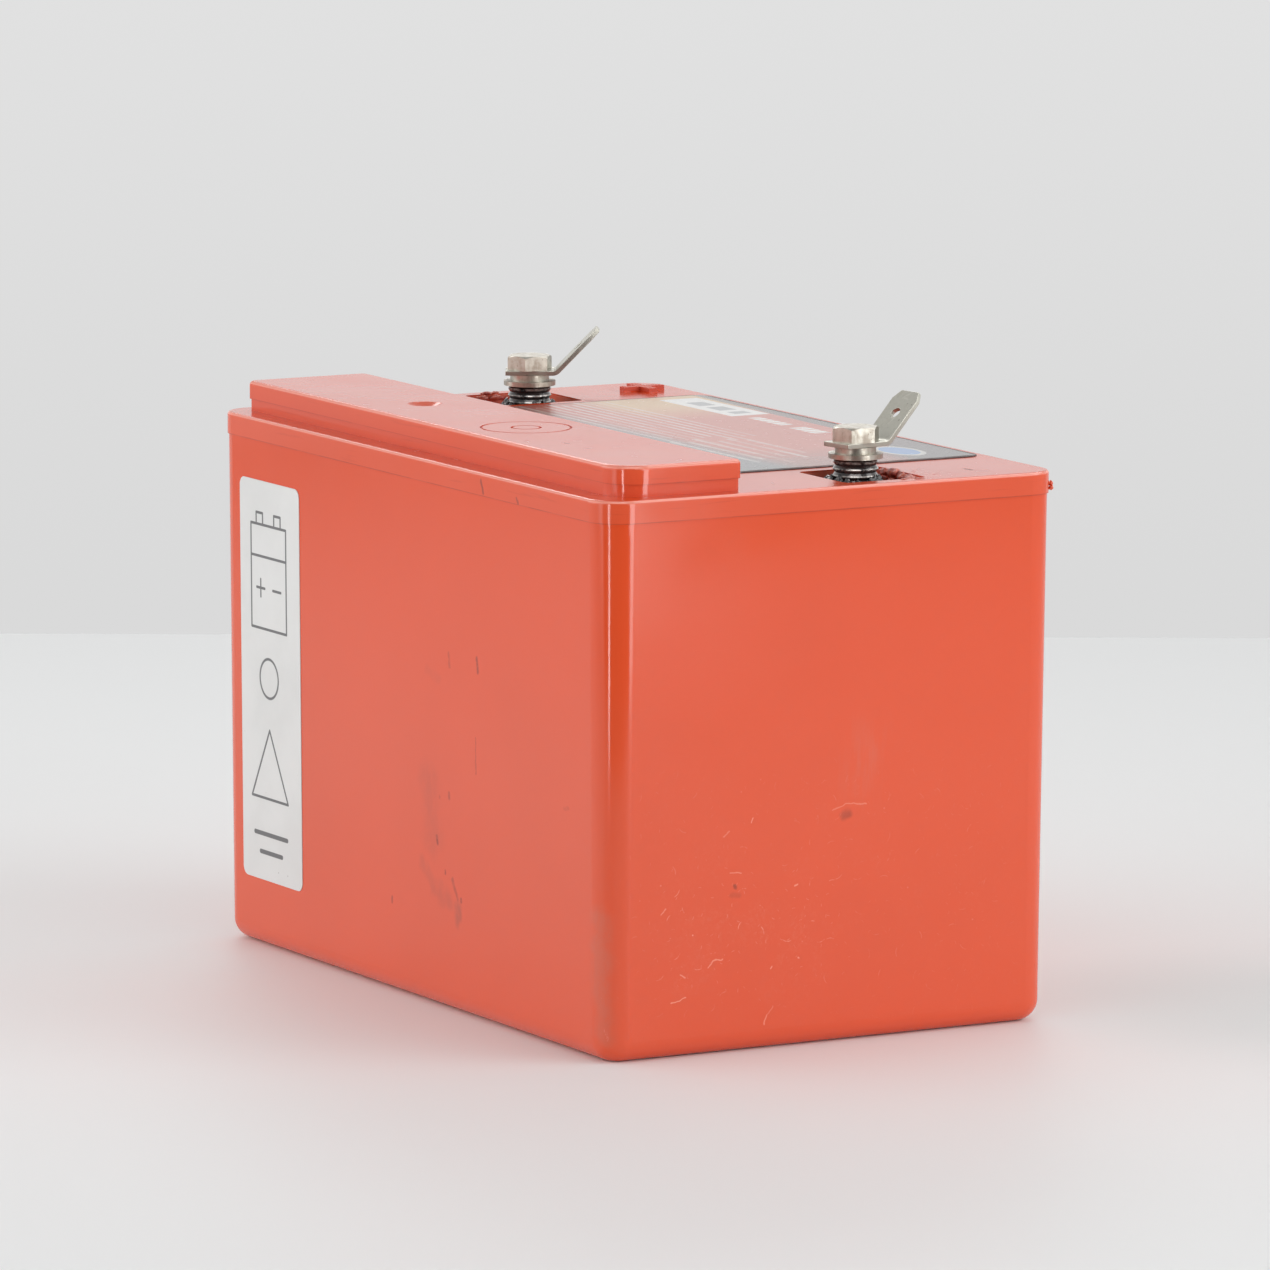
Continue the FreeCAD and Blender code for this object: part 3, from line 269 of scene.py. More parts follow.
class Graph:
    """The nodes of one material, each added by a short call. Coordinates are in millimetres."""

    def __init__(self, tree):
        self.tree = tree

    def add(self, kind, inputs=None, output=0, **settings):
        node = self.tree.nodes.new(kind)
        for key, value in settings.items():
            setattr(node, key, value)
        for key, value in (inputs or {}).items():
            self.feed(node.inputs[key], value)
        return None if output is None else node.outputs[output]

    def feed(self, socket, value):
        if isinstance(value, bpy.types.NodeSocket):
            self.tree.links.new(value, socket)
        elif isinstance(value, (tuple, list, Vector)) and socket.type == "RGBA" and len(value) == 3:
            socket.default_value = (*value, 1)
        else:
            socket.default_value = value

    def math(self, operation, a, b=0.0, clamp=False):
        return self.add("ShaderNodeMath", {0: a, 1: b}, operation=operation, use_clamp=clamp)

    def times(self, *values):
        return self.chain("MULTIPLY", values)

    def plus(self, a, b):
        return self.math("ADD", a, b)

    def minus(self, a, b):
        return self.math("SUBTRACT", a, b)

    def size(self, a):
        return self.math("ABSOLUTE", a)

    def most(self, *values):
        return self.chain("MAXIMUM", values)

    def chain(self, operation, values):
        total, *others = values
        for value in others:
            total = self.math(operation, total, value)
        return total

    def vector(self, operation, a, b=(0, 0, 0)):
        return self.add("ShaderNodeVectorMath", {0: a, 1: b}, operation=operation)

    def measure(self, operation, a, b=(0, 0, 0)):
        """A number from vectors, such as a length, a distance or a dot product."""
        return self.add("ShaderNodeVectorMath", {0: a, 1: b}, output=1, operation=operation)

    def ramp(self, value, start, end, low=0.0, high=1.0):
        """A smooth step of value from low at start to high at end."""
        inputs = {"Value": value, "From Min": start, "From Max": end, "To Min": low, "To Max": high}
        return self.add("ShaderNodeMapRange", inputs, interpolation_type="SMOOTHSTEP")

    def within(self, value, low, high, soft):
        """1 between low and high, fading to 0 over soft outside them."""
        rise = self.ramp(value, low - soft, low + soft)
        fall = self.ramp(value, high - soft, high + soft, 1.0, 0.0)
        return self.times(rise, fall)

    def box(self, x, y, low, high, soft):
        """1 between two corners, fading to 0 over soft outside them."""
        across = self.within(x, low[0], high[0], soft)
        return self.times(across, self.within(y, low[1], high[1], soft))

    def blend(self, share, a, b):
        """Colour a where the share is 0, and b where it is 1."""
        node = self.tree.nodes.new("ShaderNodeMix")
        node.data_type = "RGBA"
        colours = [socket for socket in node.inputs if socket.type == "RGBA"]
        for socket, value in zip((node.inputs[0], *colours), (share, a, b)):
            self.feed(socket, value)
        return next(socket for socket in node.outputs if socket.type == "RGBA")

    def tint(self, colour, mask, strength, paint):
        """The colour under paint of some strength where the mask is 1."""
        return self.blend(self.times(mask, strength), colour, paint)

    def layers(self, colour, *layers):
        """The colour under several paints, each with its mask and strength."""
        for layer in layers:
            colour = self.tint(colour, *layer)
        return colour

    def place(self):
        """The point of the surface in millimetres."""
        local = self.add("ShaderNodeTexCoord", output=3)
        return self.vector("MULTIPLY", local, (1 / MM,) * 3)

    def axes(self, vector):
        node = self.tree.nodes.new("ShaderNodeSeparateXYZ")
        self.feed(node.inputs[0], vector)
        return node.outputs[0], node.outputs[1], node.outputs[2]

    def joined(self, x, y, z):
        return self.add("ShaderNodeCombineXYZ", {0: x, 1: y, 2: z})

    def normal_axes(self):
        return self.axes(self.add("ShaderNodeNewGeometry", output=1))

    def noise(self, place, scale, detail=3.0, rough=0.55, stretch=(1, 1, 1)):
        """Soft noise from 0 to 1, with scale in patches per millimetre."""
        if stretch != (1, 1, 1):
            place = self.vector("MULTIPLY", place, stretch)
        inputs = {"Vector": place, "Scale": scale, "Detail": detail, "Roughness": rough}
        return self.add("ShaderNodeTexNoise", inputs)

    def drift(self, place, scale, reach):
        """The place moved about by noise, up to reach millimetres."""
        inputs = {"Vector": place, "Scale": scale, "Detail": 2.0}
        colour = self.add("ShaderNodeTexNoise", inputs, output=1)
        offset = self.vector("SUBTRACT", colour, (0.5, 0.5, 0.5))
        return self.vector("ADD", place, self.vector("MULTIPLY", offset, (2 * reach,) * 3))

    def cells(self, place, scale):
        node = self.tree.nodes.new("ShaderNodeTexVoronoi")
        self.feed(node.inputs["Vector"], place)
        self.feed(node.inputs["Scale"], scale)
        return node

    def dots(self, place, scale, radius, share):
        """Small dots: one in some cells of a grid of the given scale, of that radius in cells."""
        cell = self.cells(place, scale)
        near = self.ramp(cell.outputs["Distance"], radius * 0.6, radius, 1.0, 0.0)
        pick = self.add("ShaderNodeSeparateColor", {0: cell.outputs["Color"]})
        return self.times(near, self.math("LESS_THAN", pick, share))

    def hairlines(self, place, scale, width):
        """Thin wandering lines where soft noise crosses its middle value."""
        level = self.noise(place, scale, 1.0, 0.4)
        return self.ramp(self.size(self.minus(level, 0.5)), 0.0, width, 1.0, 0.0)

    def strokes(self, a, b, scale, length, width, bend, share):
        """Short scratches, one in some cells of a grid, each with a direction and slight curve.

        Scale is in cells a millimetre, and length and width are half measures in millimetres."""
        place = self.joined(a, b, 0.0)
        cell = self.cells(place, scale)
        cell.voronoi_dimensions = "2D"
        chance = self.tree.nodes.new("ShaderNodeSeparateColor")
        self.feed(chance.inputs[0], cell.outputs["Color"])
        away = self.vector("SUBTRACT", place, cell.outputs["Position"])
        angle = self.times(chance.outputs[0], 2 * math.pi)
        inputs = {"Vector": away, "Angle": angle}
        turned = self.add("ShaderNodeVectorRotate", inputs, rotation_type="Z_AXIS")
        along, off, _ = self.axes(turned)
        off = self.size(self.plus(off, self.times(along, along, bend)))
        near = self.ramp(off, width * 0.4, width, 1.0, 0.0)
        reach = self.ramp(self.size(along), length * 0.6, length, 1.0, 0.0)
        return self.times(near, reach, self.math("LESS_THAN", chance.outputs[1], share))

    def streak(self, place, start, end, radius):
        """1 on the line from start to end, fading to 0 at the radius."""
        node = self.tree.nodes.new("ShaderNodeGroup")
        node.node_tree = streak_group()
        given = {"Place": place, "Start": start, "End": end, "Radius": radius}
        for key, value in given.items():
            self.feed(node.inputs[key], value)
        return node.outputs[0]

    def bump(self, height, strength):
        """A normal from a height in millimetres."""
        inputs = {"Height": height, "Strength": strength, "Distance": MM}
        return self.add("ShaderNodeBump", inputs)

    def surface(self, colour, roughness, normal=None, **constants):
        """The material's shader. Constants are set on its sockets, with _ for a space."""
        inputs = {"Base Color": colour, "Roughness": roughness}
        if normal is not None:
            inputs["Normal"] = normal
        inputs.update({key.replace("_", " "): value for key, value in constants.items()})
        shader = self.add("ShaderNodeBsdfPrincipled", inputs)
        self.add("ShaderNodeOutputMaterial", {"Surface": shader}, output=None)


def streak_group():
    """The nodes of Graph.streak, made once and shared."""
    name = "streak"
    if name in bpy.data.node_groups:
        return bpy.data.node_groups[name]
    group = bpy.data.node_groups.new(name, "ShaderNodeTree")
    sockets = {"Place": "Vector", "Start": "Vector", "End": "Vector", "Radius": "Float"}
    for socket, kind in sockets.items():
        group.interface.new_socket(socket, in_out="INPUT", socket_type=f"NodeSocket{kind}")
    group.interface.new_socket("Mask", in_out="OUTPUT", socket_type="NodeSocketFloat")
    graph = Graph(group)
    given = group.nodes.new("NodeGroupInput").outputs
    along = graph.vector("SUBTRACT", given["End"], given["Start"])
    reach = graph.vector("SUBTRACT", given["Place"], given["Start"])
    dot = graph.measure("DOT_PRODUCT", reach, along)
    whole = graph.measure("DOT_PRODUCT", along, along)
    share = graph.math("DIVIDE", dot, whole, clamp=True)
    foot = graph.add("ShaderNodeVectorMath", {0: along, "Scale": share}, operation="SCALE")
    gap = graph.vector("SUBTRACT", reach, foot)
    length = graph.measure("LENGTH", gap)
    near = graph.math("DIVIDE", length, given["Radius"])
    mask = graph.ramp(near, 0.15, 1.0, 1.0, 0.0)
    output = group.nodes.new("NodeGroupOutput")
    group.links.new(mask, output.inputs[0])
    return group


def new_material(name):
    """An empty material, its graph, and the place on the surface."""
    material = bpy.data.materials.new(name)
    material.use_nodes = True
    material.node_tree.nodes.clear()
    g = Graph(material.node_tree)
    return material, g, g.place()


def face_marks(graph, place, marks, face):
    """The marks of one face as a mask. The face is the axis that they leave out, 0, 1 or 2."""
    flat = [1, 1, 1]
    flat[face] = 0
    place = graph.vector("MULTIPLY", place, flat)
    total = 0.0
    for start, end, radius, strength in marks:
        points = [(*p[:face], 0, *p[face:]) for p in (start, end)]
        mask = graph.times(graph.streak(place, *points, radius), strength)
        total = graph.most(total, mask)
    return total


def housing_material(name, add_marks_and_light):
    """Glossy moulded orange plastic, and over it the marks and the painted light that one piece
    carries.
    """
    material, g, place = new_material(name)
    tone = g.noise(place, 0.02, 3.0)
    dim = tuple(c * 0.95 for c in HOUSING_ORANGE)
    colour = g.blend(g.ramp(tone, 0.3, 0.7), HOUSING_ORANGE, dim)
    rubbed = g.ramp(g.noise(place, 0.05, 5.0, 0.65), 0.35, 0.7)
    rough = g.plus(g.times(rubbed, 0.05), 0.09)
    colour, rough = add_marks_and_light(g, place, g.normal_axes(), colour, rough)
    waves = g.times(g.noise(place, 0.035, 0.0), 0.10)
    grain = g.times(g.noise(place, 4.0, 1.0), 0.0022)
    g.surface(colour, rough, g.bump(g.plus(waves, grain), 0.55), IOR=1.53)
    return material


def end_scuffs(g, place, close, end):
    """Short pale scratches and specks low on the short side, thinning out upwards."""
    _, y, z = g.axes(place)
    area = g.box(y, z, *SCUFFED_AREA, 9.0)
    wide = g.times(g.box(y, z, *WIDER_AREA, 6.0), 0.30)
    area = g.times(g.most(area, wide), end)
    short = g.strokes(y, z, 0.30, 0.9, 0.10, 0.35, 0.40)
    fine = g.strokes(g.plus(y, 7.0), g.plus(z, 3.0), 0.62, 0.35, 0.07, 0.9, 0.45)
    broken = g.ramp(g.noise(place, 0.6, 3.0, 0.7), 0.42, 0.6)
    patchy = g.ramp(g.noise(place, 0.14, 4.0, 0.7), 0.42, 0.65)
    specks = g.dots(g.joined(0.0, y, z), 0.30, 0.055, 0.45)
    haze = g.times(patchy, g.ramp(g.noise(place, 1.2, 4.0, 0.8), 0.42, 0.75))
    lines = g.times(g.most(short, g.times(fine, 0.7)), broken)
    drawn = g.times(face_marks(g, close, END_SCRATCHES, 0), end)
    scuffs = g.times(area, g.most(g.times(haze, 0.6), lines))
    glints = g.most(g.times(area, g.most(g.times(lines, 0.55), g.times(specks, 0.9))), drawn)
    return scuffs, glints


def case_marks_and_sheen(g, place, normal, colour, rough):
    """Smears and nicks on the long side, scuffs low on the short side, and a painted sheen on both
    sides.
    """
    x, y, z = g.axes(place)
    side = g.times(g.ramp(normal[1], -0.9, -0.7, 1.0, 0.0), g.ramp(y, -39.0, -41.0))
    end = g.times(g.ramp(normal[0], 0.7, 0.9), g.ramp(x, 66.5, 67.5))
    close = g.drift(place, 0.6, 0.4)
    wide = g.drift(place, 0.22, 2.0)
    broken = g.ramp(g.noise(place, 1.6, 4.0), 0.3, 0.6, 0.55, 1.0)
    side_marks = g.times(face_marks(g, close, SIDE_MARKS, 1), side, broken)
    cloudy = g.ramp(g.noise(place, 0.5, 5.0, 0.7, (1, 1, 0.5)), 0.25, 0.6, 0.35, 1.0)
    smears = g.times(face_marks(g, wide, SIDE_SMEARS, 1), side, cloudy)
    end_marks = g.times(face_marks(g, close, END_MARKS, 0), end)
    corner = g.times(face_marks(g, wide, CORNER_RUBS, 1), g.ramp(normal[1], -0.3, -0.7))
    corner = g.times(corner, cloudy)
    scuffs, glints = end_scuffs(g, place, close, end)
    dull = g.times(g.box(y, z, *DULL_PATCH, 5.0), end)
    dull = g.times(dull, g.ramp(g.noise(place, 0.3, 3.0, 0.6, (1, 1.6, 0.3)), 0.4, 0.7))

    # Painted sheen: the upright faces are paled, more so low down.
    haze = g.times(g.most(side, g.times(end, 0.6)), g.ramp(z, 75.0, 35.0))
    colour = g.layers(
        colour,
        (haze, 0.05, PAINTED_SHEEN),
        (corner, 0.22, (0.36, 0.20, 0.15)),
        (dull, 0.10, (0.50, 0.26, 0.20)),
        (smears, 0.62, (0.30, 0.065, 0.04)),
        (g.most(side_marks, end_marks), 0.85, (0.20, 0.028, 0.016)),
        (scuffs, 0.22, (0.80, 0.30, 0.20)),
        (glints, 0.62, (0.92, 0.45, 0.32)),
    )
    rough = g.plus(rough, g.times(g.most(smears, corner, scuffs, dull), 0.16))
    rough = g.plus(rough, g.times(g.most(side_marks, end_marks), 0.10))
    return colour, rough


def lid_marks_and_light(g, place, normal, colour, rough):
    """Specks and nicks on the faces that face up, a dull plus sign, a line of dirt and painted
    shade at each seam, a painted highlight on the rounded top edges and a painted sheen on the
    upright faces.
    """
    x, y, z = g.axes(place)
    top = g.ramp(normal[2], 0.6, 0.9)
    upright = g.ramp(normal[2], 0.5, 0.3)
    side = g.ramp(normal[1], -0.7, -0.9)
    specks = g.times(g.dots(place, 0.30, 0.05, 0.5), 0.4)
    specks = g.most(specks, g.times(g.dots(place, 0.07, 0.022, 0.6), 0.75))
    nicks = g.strokes(x, y, 0.10, 0.9, 0.16, 0.2, 0.5)
    close = g.drift(place, 0.7, 0.35)
    drawn = face_marks(g, close, TOP_MARKS, 2)
    dirt = g.times(g.most(specks, g.times(nicks, 0.4), drawn), top)
    skirt = g.times(face_marks(g, close, SKIRT_MARKS, 1), side)
    broken = g.ramp(g.noise(g.joined(x, y, 0.0), 0.12, 3.0, 0.6), 0.30, 0.62, 0.35, 1.0)
    # A dark line at each seam: dirt in the joint and painted shade under the edge above it.
    seam_dirt_and_shade = g.most(*[g.within(z, *heights, 0.10) for heights in SEAM_HEIGHTS])
    seam_dirt_and_shade = g.times(seam_dirt_and_shade, upright, broken)
    drawn_out = g.noise(place, 0.5, 3.0, 0.6, (0.12, 0.12, 2.2))
    lines = g.times(g.ramp(drawn_out, 0.60, 0.72), upright)
    plus = g.times(g.box(x, y, *PLUS_SIGN, 0.1), g.ramp(z, LID_TOP + 0.15, LID_TOP + 0.3))
    torn = g.times(g.box(x, y, *TORN_AREA, 3.0), top)
    torn = g.times(torn, g.ramp(g.noise(place, 0.8, 5.0, 0.7), 0.52, 0.62))

    pocket = g.box(g.size(x), y, *POCKET_AREA, 0.5)
    pocket = g.times(pocket, g.within(z, POCKET_FLOOR - 0.2, LID_TOP - 0.2, 0.1))
    # Painted highlight: a pale line along the rounded top edges of the lid and cover.
    edge = g.within(normal[2], 0.30, 0.88, 0.08)
    edge = g.times(edge, g.ramp(z, LID_TOP - 1.2, LID_TOP - 0.2))
    far_edge = g.box(x, z, (-45.0, LID_TOP - 0.2), (52.0, LID_TOP + 0.2), 2.0)
    far_edge = g.times(far_edge, g.ramp(y, 42.1, 42.3))

    colour = g.layers(
        colour,
        # Painted sheen on the upright faces.
        (upright, 0.045, PAINTED_SHEEN),
        (edge, 0.45, (1.0, 0.48, 0.38)),
        (pocket, 0.45, (0.72, 0.25, 0.18)),
        (far_edge, 0.75, (0.22, 0.17, 0.16)),
        (lines, 0.18, (0.42, 0.05, 0.025)),
        (seam_dirt_and_shade, 0.55, (0.20, 0.028, 0.014)),
        (g.most(dirt, skirt), 0.80, (0.08, 0.035, 0.03)),
        (plus, 0.45, (0.52, 0.05, 0.022)),
        (torn, 0.4, (0.45, 0.03, 0.015)),
    )
    rough = g.plus(rough, g.most(g.times(top, 0.09), g.times(pocket, 0.25)))
    rough = g.plus(rough, g.times(plus, 0.40))
    rough = g.plus(rough, g.times(g.most(dirt, torn), 0.35))
    return colour, rough


def torn_material():
    """Broken orange plastic: deeper in colour than the moulded skin, and rough."""
    material, g, place = new_material("torn_housing")
    cloud = g.noise(place, 1.2, 5.0, 0.7)
    colour = g.blend(g.ramp(cloud, 0.35, 0.65), (0.68, 0.17, 0.10), (0.40, 0.05, 0.035))
    pale = g.ramp(g.noise(place, 2.1, 3.0, 0.7), 0.60, 0.72)
    colour = g.tint(colour, pale, 0.55, (0.82, 0.42, 0.30))
    rough = g.ramp(cloud, 0.3, 0.7, 0.30, 0.55)
    g.surface(colour, rough, g.bump(g.times(cloud, 0.25), 0.6), IOR=1.53)
    return material


def plate_material(name, colour, dark):
    """Paste on a lead grid, whose bars show faintly through it."""
    material, g, place = new_material(name)
    _, y, z = g.axes(place)
    bars = [g.math("PINGPONG", axis, PLATE_GRID / 2) for axis in (y, z)]
    lines = g.most(*[g.ramp(bar, 0.25, 0.5, 1.0, 0.0) for bar in bars])
    grain = g.noise(place, 2.5, 5.0, 0.7)
    mixed = g.blend(g.ramp(grain, 0.3, 0.7), colour, dark)
    mixed = g.tint(mixed, lines, 0.35, (0.34, 0.35, 0.37))
    height = g.plus(g.times(grain, 0.12), g.times(lines, 0.08))
    g.surface(mixed, g.ramp(grain, 0.3, 0.8, 0.7, 0.9), g.bump(height, 0.6))
    return material


def mat_material():
    """Felted glass fibre."""
    material, g, place = new_material("glass_mat")
    fibres = g.most(g.hairlines(g.drift(place, 0.4, 1.0), 1.1, 0.05), g.hairlines(place, 1.7, 0.05))
    cloud = g.noise(place, 0.5, 4.0)
    colour = g.blend(g.ramp(cloud, 0.3, 0.7), (0.84, 0.84, 0.80), (0.72, 0.72, 0.68))
    colour = g.tint(colour, fibres, 0.4, (0.93, 0.93, 0.90))
    g.surface(colour, g.ramp(cloud, 0.2, 0.8, 0.82, 0.95), g.bump(g.times(fibres, 0.05), 0.5))
    return material


def lead_material():
    """Dull cast lead with bright rubbed patches."""
    material, g, place = new_material("lead")
    cast = g.noise(place, 0.8, 5.0, 0.6)
    colour = g.blend(g.ramp(cast, 0.35, 0.65), (0.30, 0.31, 0.34), (0.46, 0.47, 0.50))
    height = g.plus(g.times(cast, 0.15), g.times(g.noise(place, 5.0), 0.01))
    g.surface(colour, g.ramp(cast, 0.3, 0.7, 0.62, 0.42), g.bump(height, 0.5), Metallic=0.85)
    return material


def rubber_material():
    material, g, place = new_material("rubber")
    powder = g.ramp(g.noise(place, 1.5, 5.0, 0.7), 0.45, 0.75)
    colour = g.tint((0.018, 0.018, 0.020), powder, 0.25, (0.22, 0.22, 0.22))
    g.surface(colour, g.ramp(powder, 0.0, 1.0, 0.55, 0.8), g.bump(g.noise(place, 6.0), 0.01))
    return material


def steel_material():
    """Plated bolt and washers: warm grey, brushed, with dull blotches and brown pits."""
    material, g, place = new_material("plated_steel")
    blotch = g.ramp(g.noise(place, 0.6, 5.0, 0.65), 0.40, 0.66)
    fine = g.noise(place, 5.0, 3.0)
    brushed = g.noise(place, 1.6, 3.0, 0.6, (1, 1, 0.15))
    colour = g.tint((0.42, 0.40, 0.35), blotch, 0.65, (0.29, 0.24, 0.19))
    colour = g.blend(g.ramp(brushed, 0.45, 0.7, 0.0, 0.35), colour, (0.55, 0.52, 0.45))
    pits = g.dots(place, 1.3, 0.16, 0.3)
    colour = g.tint(colour, pits, 0.6, (0.12, 0.09, 0.07))
    rough = g.plus(g.times(blotch, 0.14), g.times(fine, 0.10))
    height = g.plus(g.times(fine, 0.010), g.times(brushed, 0.020))
    g.surface(colour, g.plus(rough, 0.28), g.bump(height, 0.5), Metallic=1.0)
    return material


def blade_material():
    """Tinned sheet, duller than the bolt, with handling stains and rolling lines."""
    material, g, place = new_material("tinned_sheet")
    stain = g.ramp(g.noise(g.drift(place, 0.4, 1.0), 0.40, 5.0, 0.65), 0.40, 0.66)
    spots = g.dots(place, 0.9, 0.20, 0.25)
    colour = g.tint((0.50, 0.49, 0.43), stain, 0.6, (0.385, 0.37, 0.315))
    colour = g.tint(colour, spots, 0.55, (0.17, 0.15, 0.12))
    x, _, z = g.axes(place)
    pale = g.strokes(x, z, 0.35, 1.0, 0.16, 0.2, 0.5)
    colour = g.tint(colour, pale, 0.4, (0.66, 0.64, 0.58))
    cut = g.ramp(g.size(g.normal_axes()[2]), 0.25, 0.10)
    colour = g.tint(colour, cut, 0.6, (0.29, 0.265, 0.23))
    rolled = g.noise(place, 1.0, 3.0, 0.6, (1, 1, 6))
    height = g.plus(g.times(rolled, 0.004), g.times(stain, 0.008))
    g.surface(colour, g.plus(g.times(stain, 0.14), 0.36), g.bump(height, 0.5), Metallic=0.9)
    return material


def post_material():
    """Terminal post under a glossy black film, with a painted highlight on the crests of its ribs.
    """
    material, g, place = new_material("post")
    x, y, z = g.axes(place)
    away = g.joined(g.minus(g.size(x), POST_PLACE[0]), g.minus(y, POST_PLACE[1]), 0.0)
    radius = g.measure("LENGTH", away)
    # Painted highlight: the crests of the ribs near the top are painted pale, in patches.
    rib = g.ramp(radius, POST_RADIUS - 0.20, POST_RADIUS - 0.06)
    painted_crest_highlight = g.times(rib, g.ramp(z, LID_TOP - 0.6, LID_TOP))
    highlight_patches = g.ramp(g.noise(place, 1.1, 4.0, 0.65), 0.36, 0.60)
    film = g.ramp(g.noise(place, 0.5, 4.0), 0.45, 0.7)
    colour = g.tint((0.030, 0.026, 0.026), film, 0.5, (0.11, 0.085, 0.08))
    colour = g.blend(g.times(painted_crest_highlight, highlight_patches), colour, (0.50, 0.47, 0.44))
    rough = g.plus(g.times(g.noise(place, 2.0), 0.16), 0.14)
    bump = g.bump(g.times(g.noise(place, 1.6, 4.0), 0.10), 0.5)
    g.surface(colour, rough, bump, Metallic=0.5, Coat_Weight=0.5)
    return material


def resin_material():
    """Black cast resin, glossy and uneven, with a grey bloom where it has run, and pale flecks of
    residue painted bright as glints.
    """
    material, g, place = new_material("resin")
    bloom = g.ramp(g.noise(g.drift(place, 0.8, 0.8), 0.9, 5.0, 0.7), 0.50, 0.68)
    # Painted glints: small pale flecks of residue.
    residue_glints = g.dots(place, 1.3, 0.24, 0.35)
    colour = g.tint((0.012, 0.011, 0.012), bloom, 0.40, (0.26, 0.23, 0.23))
    colour = g.tint(colour, residue_glints, 0.6, (0.62, 0.60, 0.60))
    ripple = g.noise(place, 0.9, 3.0)
    rough = g.ramp(bloom, 0.0, 1.0, 0.08, 0.40)
    g.surface(colour, rough, g.bump(g.times(ripple, 0.5), 0.6), IOR=1.55)
    return material


def outline(points):
    """Closed runs between points that follow each other."""
    return [(a, b) for a, b in zip(points, points[1:] + points[:1])]


def side_drawing():
    """Lines of the label's plain drawing, by x and z in millimetres, with half widths."""
    left, right, low, high = -56.5, -43.5, 56.0, 74.0
    fine, thick = 0.42, 0.714
    pole_inset, pole_half, pole_height = 3.2, 1.2, 2.0
    sign_inset, sign_half, sign_height, level = 3.5, 1.5, 7.0, 12.5

    lines = outline([(left, low), (right, low), (right, high), (left, high)])
    for pole in (left + pole_inset, right - pole_inset):
        a, b, top = pole - pole_half, pole + pole_half, high + pole_height
        lines += outline([(a, high), (a, top), (b, top), (b, high)])[:-1]
    lines.append(((left, low + level), (right, low + level)))
    z = low + sign_height
    for x in (left + sign_inset, right - sign_inset):
        lines.append(((x - sign_half, z), (x + sign_half, z)))
    x = left + sign_inset
    lines.append(((x, z - sign_half), (x, z + sign_half)))
    lines += outline([(-57.0, 26.5), (-43.5, 26.5), (-50.2, 38.5)])
    bars = [((-56.0, 20.2), (-44.0, 20.2)), ((-54.0, 17.0), (-46.0, 17.0))]
    return [(a, b, fine) for a, b in lines] + [(a, b, thick) for a, b in bars]


def side_film_material():
    """White film with plain line drawings: a block with two poles, a ring, a triangle and bars."""
    material, g, place = new_material("side_film")
    x, _, z = g.axes(place)
    flat = g.joined(x, 0.0, z)
    ink = 0.0
    for start, end, width in side_drawing():
        line = g.streak(flat, (start[0], 0, start[1]), (end[0], 0, end[1]), width)
        ink = g.most(ink, line)
    away = g.measure("DISTANCE", flat, (RING_PLACE[0], 0, RING_PLACE[1]))
    ring = g.ramp(g.size(g.minus(away, RING_RADIUS)), 0.15, 0.32, 1.0, 0.0)
    ink = g.most(g.ramp(ink, 0.45, 0.6), ring)
    tone = g.ramp(g.noise(place, 0.08, 4.0), 0.35, 0.7)
    paper = g.blend(tone, (0.71, 0.71, 0.70), (0.67, 0.67, 0.66))
    specks = g.dots(place, 0.25, 0.05, 0.4)
    colour = g.tint(paper, ink, 0.88, (0.06, 0.06, 0.065))
    colour = g.tint(colour, specks, 0.5, (0.25, 0.22, 0.20))
    waves = g.times(g.noise(place, 0.06, 2.0), 0.05)
    height = g.plus(waves, g.times(g.noise(place, 3.0), 0.002))
    rough = g.ramp(g.noise(place, 0.1, 4.0), 0.3, 0.7, 0.28, 0.38)
    g.surface(colour, rough, g.bump(height, 0.5))
    return material


def printed_rows(g, x, y, pitch, start, end):
    """Pale rules in place of a printed column, each with ends and a strength of its own."""
    row = g.math("FLOOR", g.math("DIVIDE", y, pitch))
    shift = g.minus(g.noise(g.joined(g.times(row, 3.7), pitch, 0.0), 1.0, 0.0), 0.5)
    across = g.math("PINGPONG", g.minus(y, g.times(row, pitch)), pitch / 2)
    bars = g.ramp(across, pitch * 0.25, pitch * 0.40)

    def change(stretch):
        """Noise along each rule, with its length stretched by that factor."""
        return g.noise(g.joined(g.times(x, stretch), g.times(row, 5.0), pitch), 0.9, 2.0, 0.6)

    strength = g.ramp(change(0.05), 0.30, 0.65, 0.30, 1.0)
    broken = g.ramp(change(0.6), 0.25, 0.45, 0.45, 1.0)
    left = g.ramp(g.minus(x, g.plus(g.times(shift, 14.0), start)), -0.4, 0.4)
    right = g.ramp(g.minus(x, g.plus(g.times(shift, -26.0), end)), 0.4, -0.4)
    return g.times(bars, broken, strength, g.times(left, right))


def film_edge_and_shadow(g, x, y):
    """The film's cut edge, darkened all round, and a wider dark band at +X that is painted shadow
    under its lifted edge.
    """
    low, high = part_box("top_label")
    gaps = []
    for value, a, b in zip((x, y), low, high):
        middle, half = (a + b) / 2 / MM, (b - a) / 2 / MM
        gaps.append(g.minus(half, g.size(g.minus(value, middle))))
    uneven = g.noise(g.joined(0.0, y, 0.0), 0.25, 3.0)
    # Painted shadow under the lifted edge at +X.
    lifted_edge_shadow = g.ramp(g.minus(high[0] / MM, x), 1.9, 1.2)
    lifted_edge_shadow = g.times(lifted_edge_shadow, g.ramp(uneven, 0.3, 0.55, 0.65, 1.0))
    return g.most(g.ramp(g.math("MINIMUM", *gaps), 0.60, 0.30), lifted_edge_shadow)


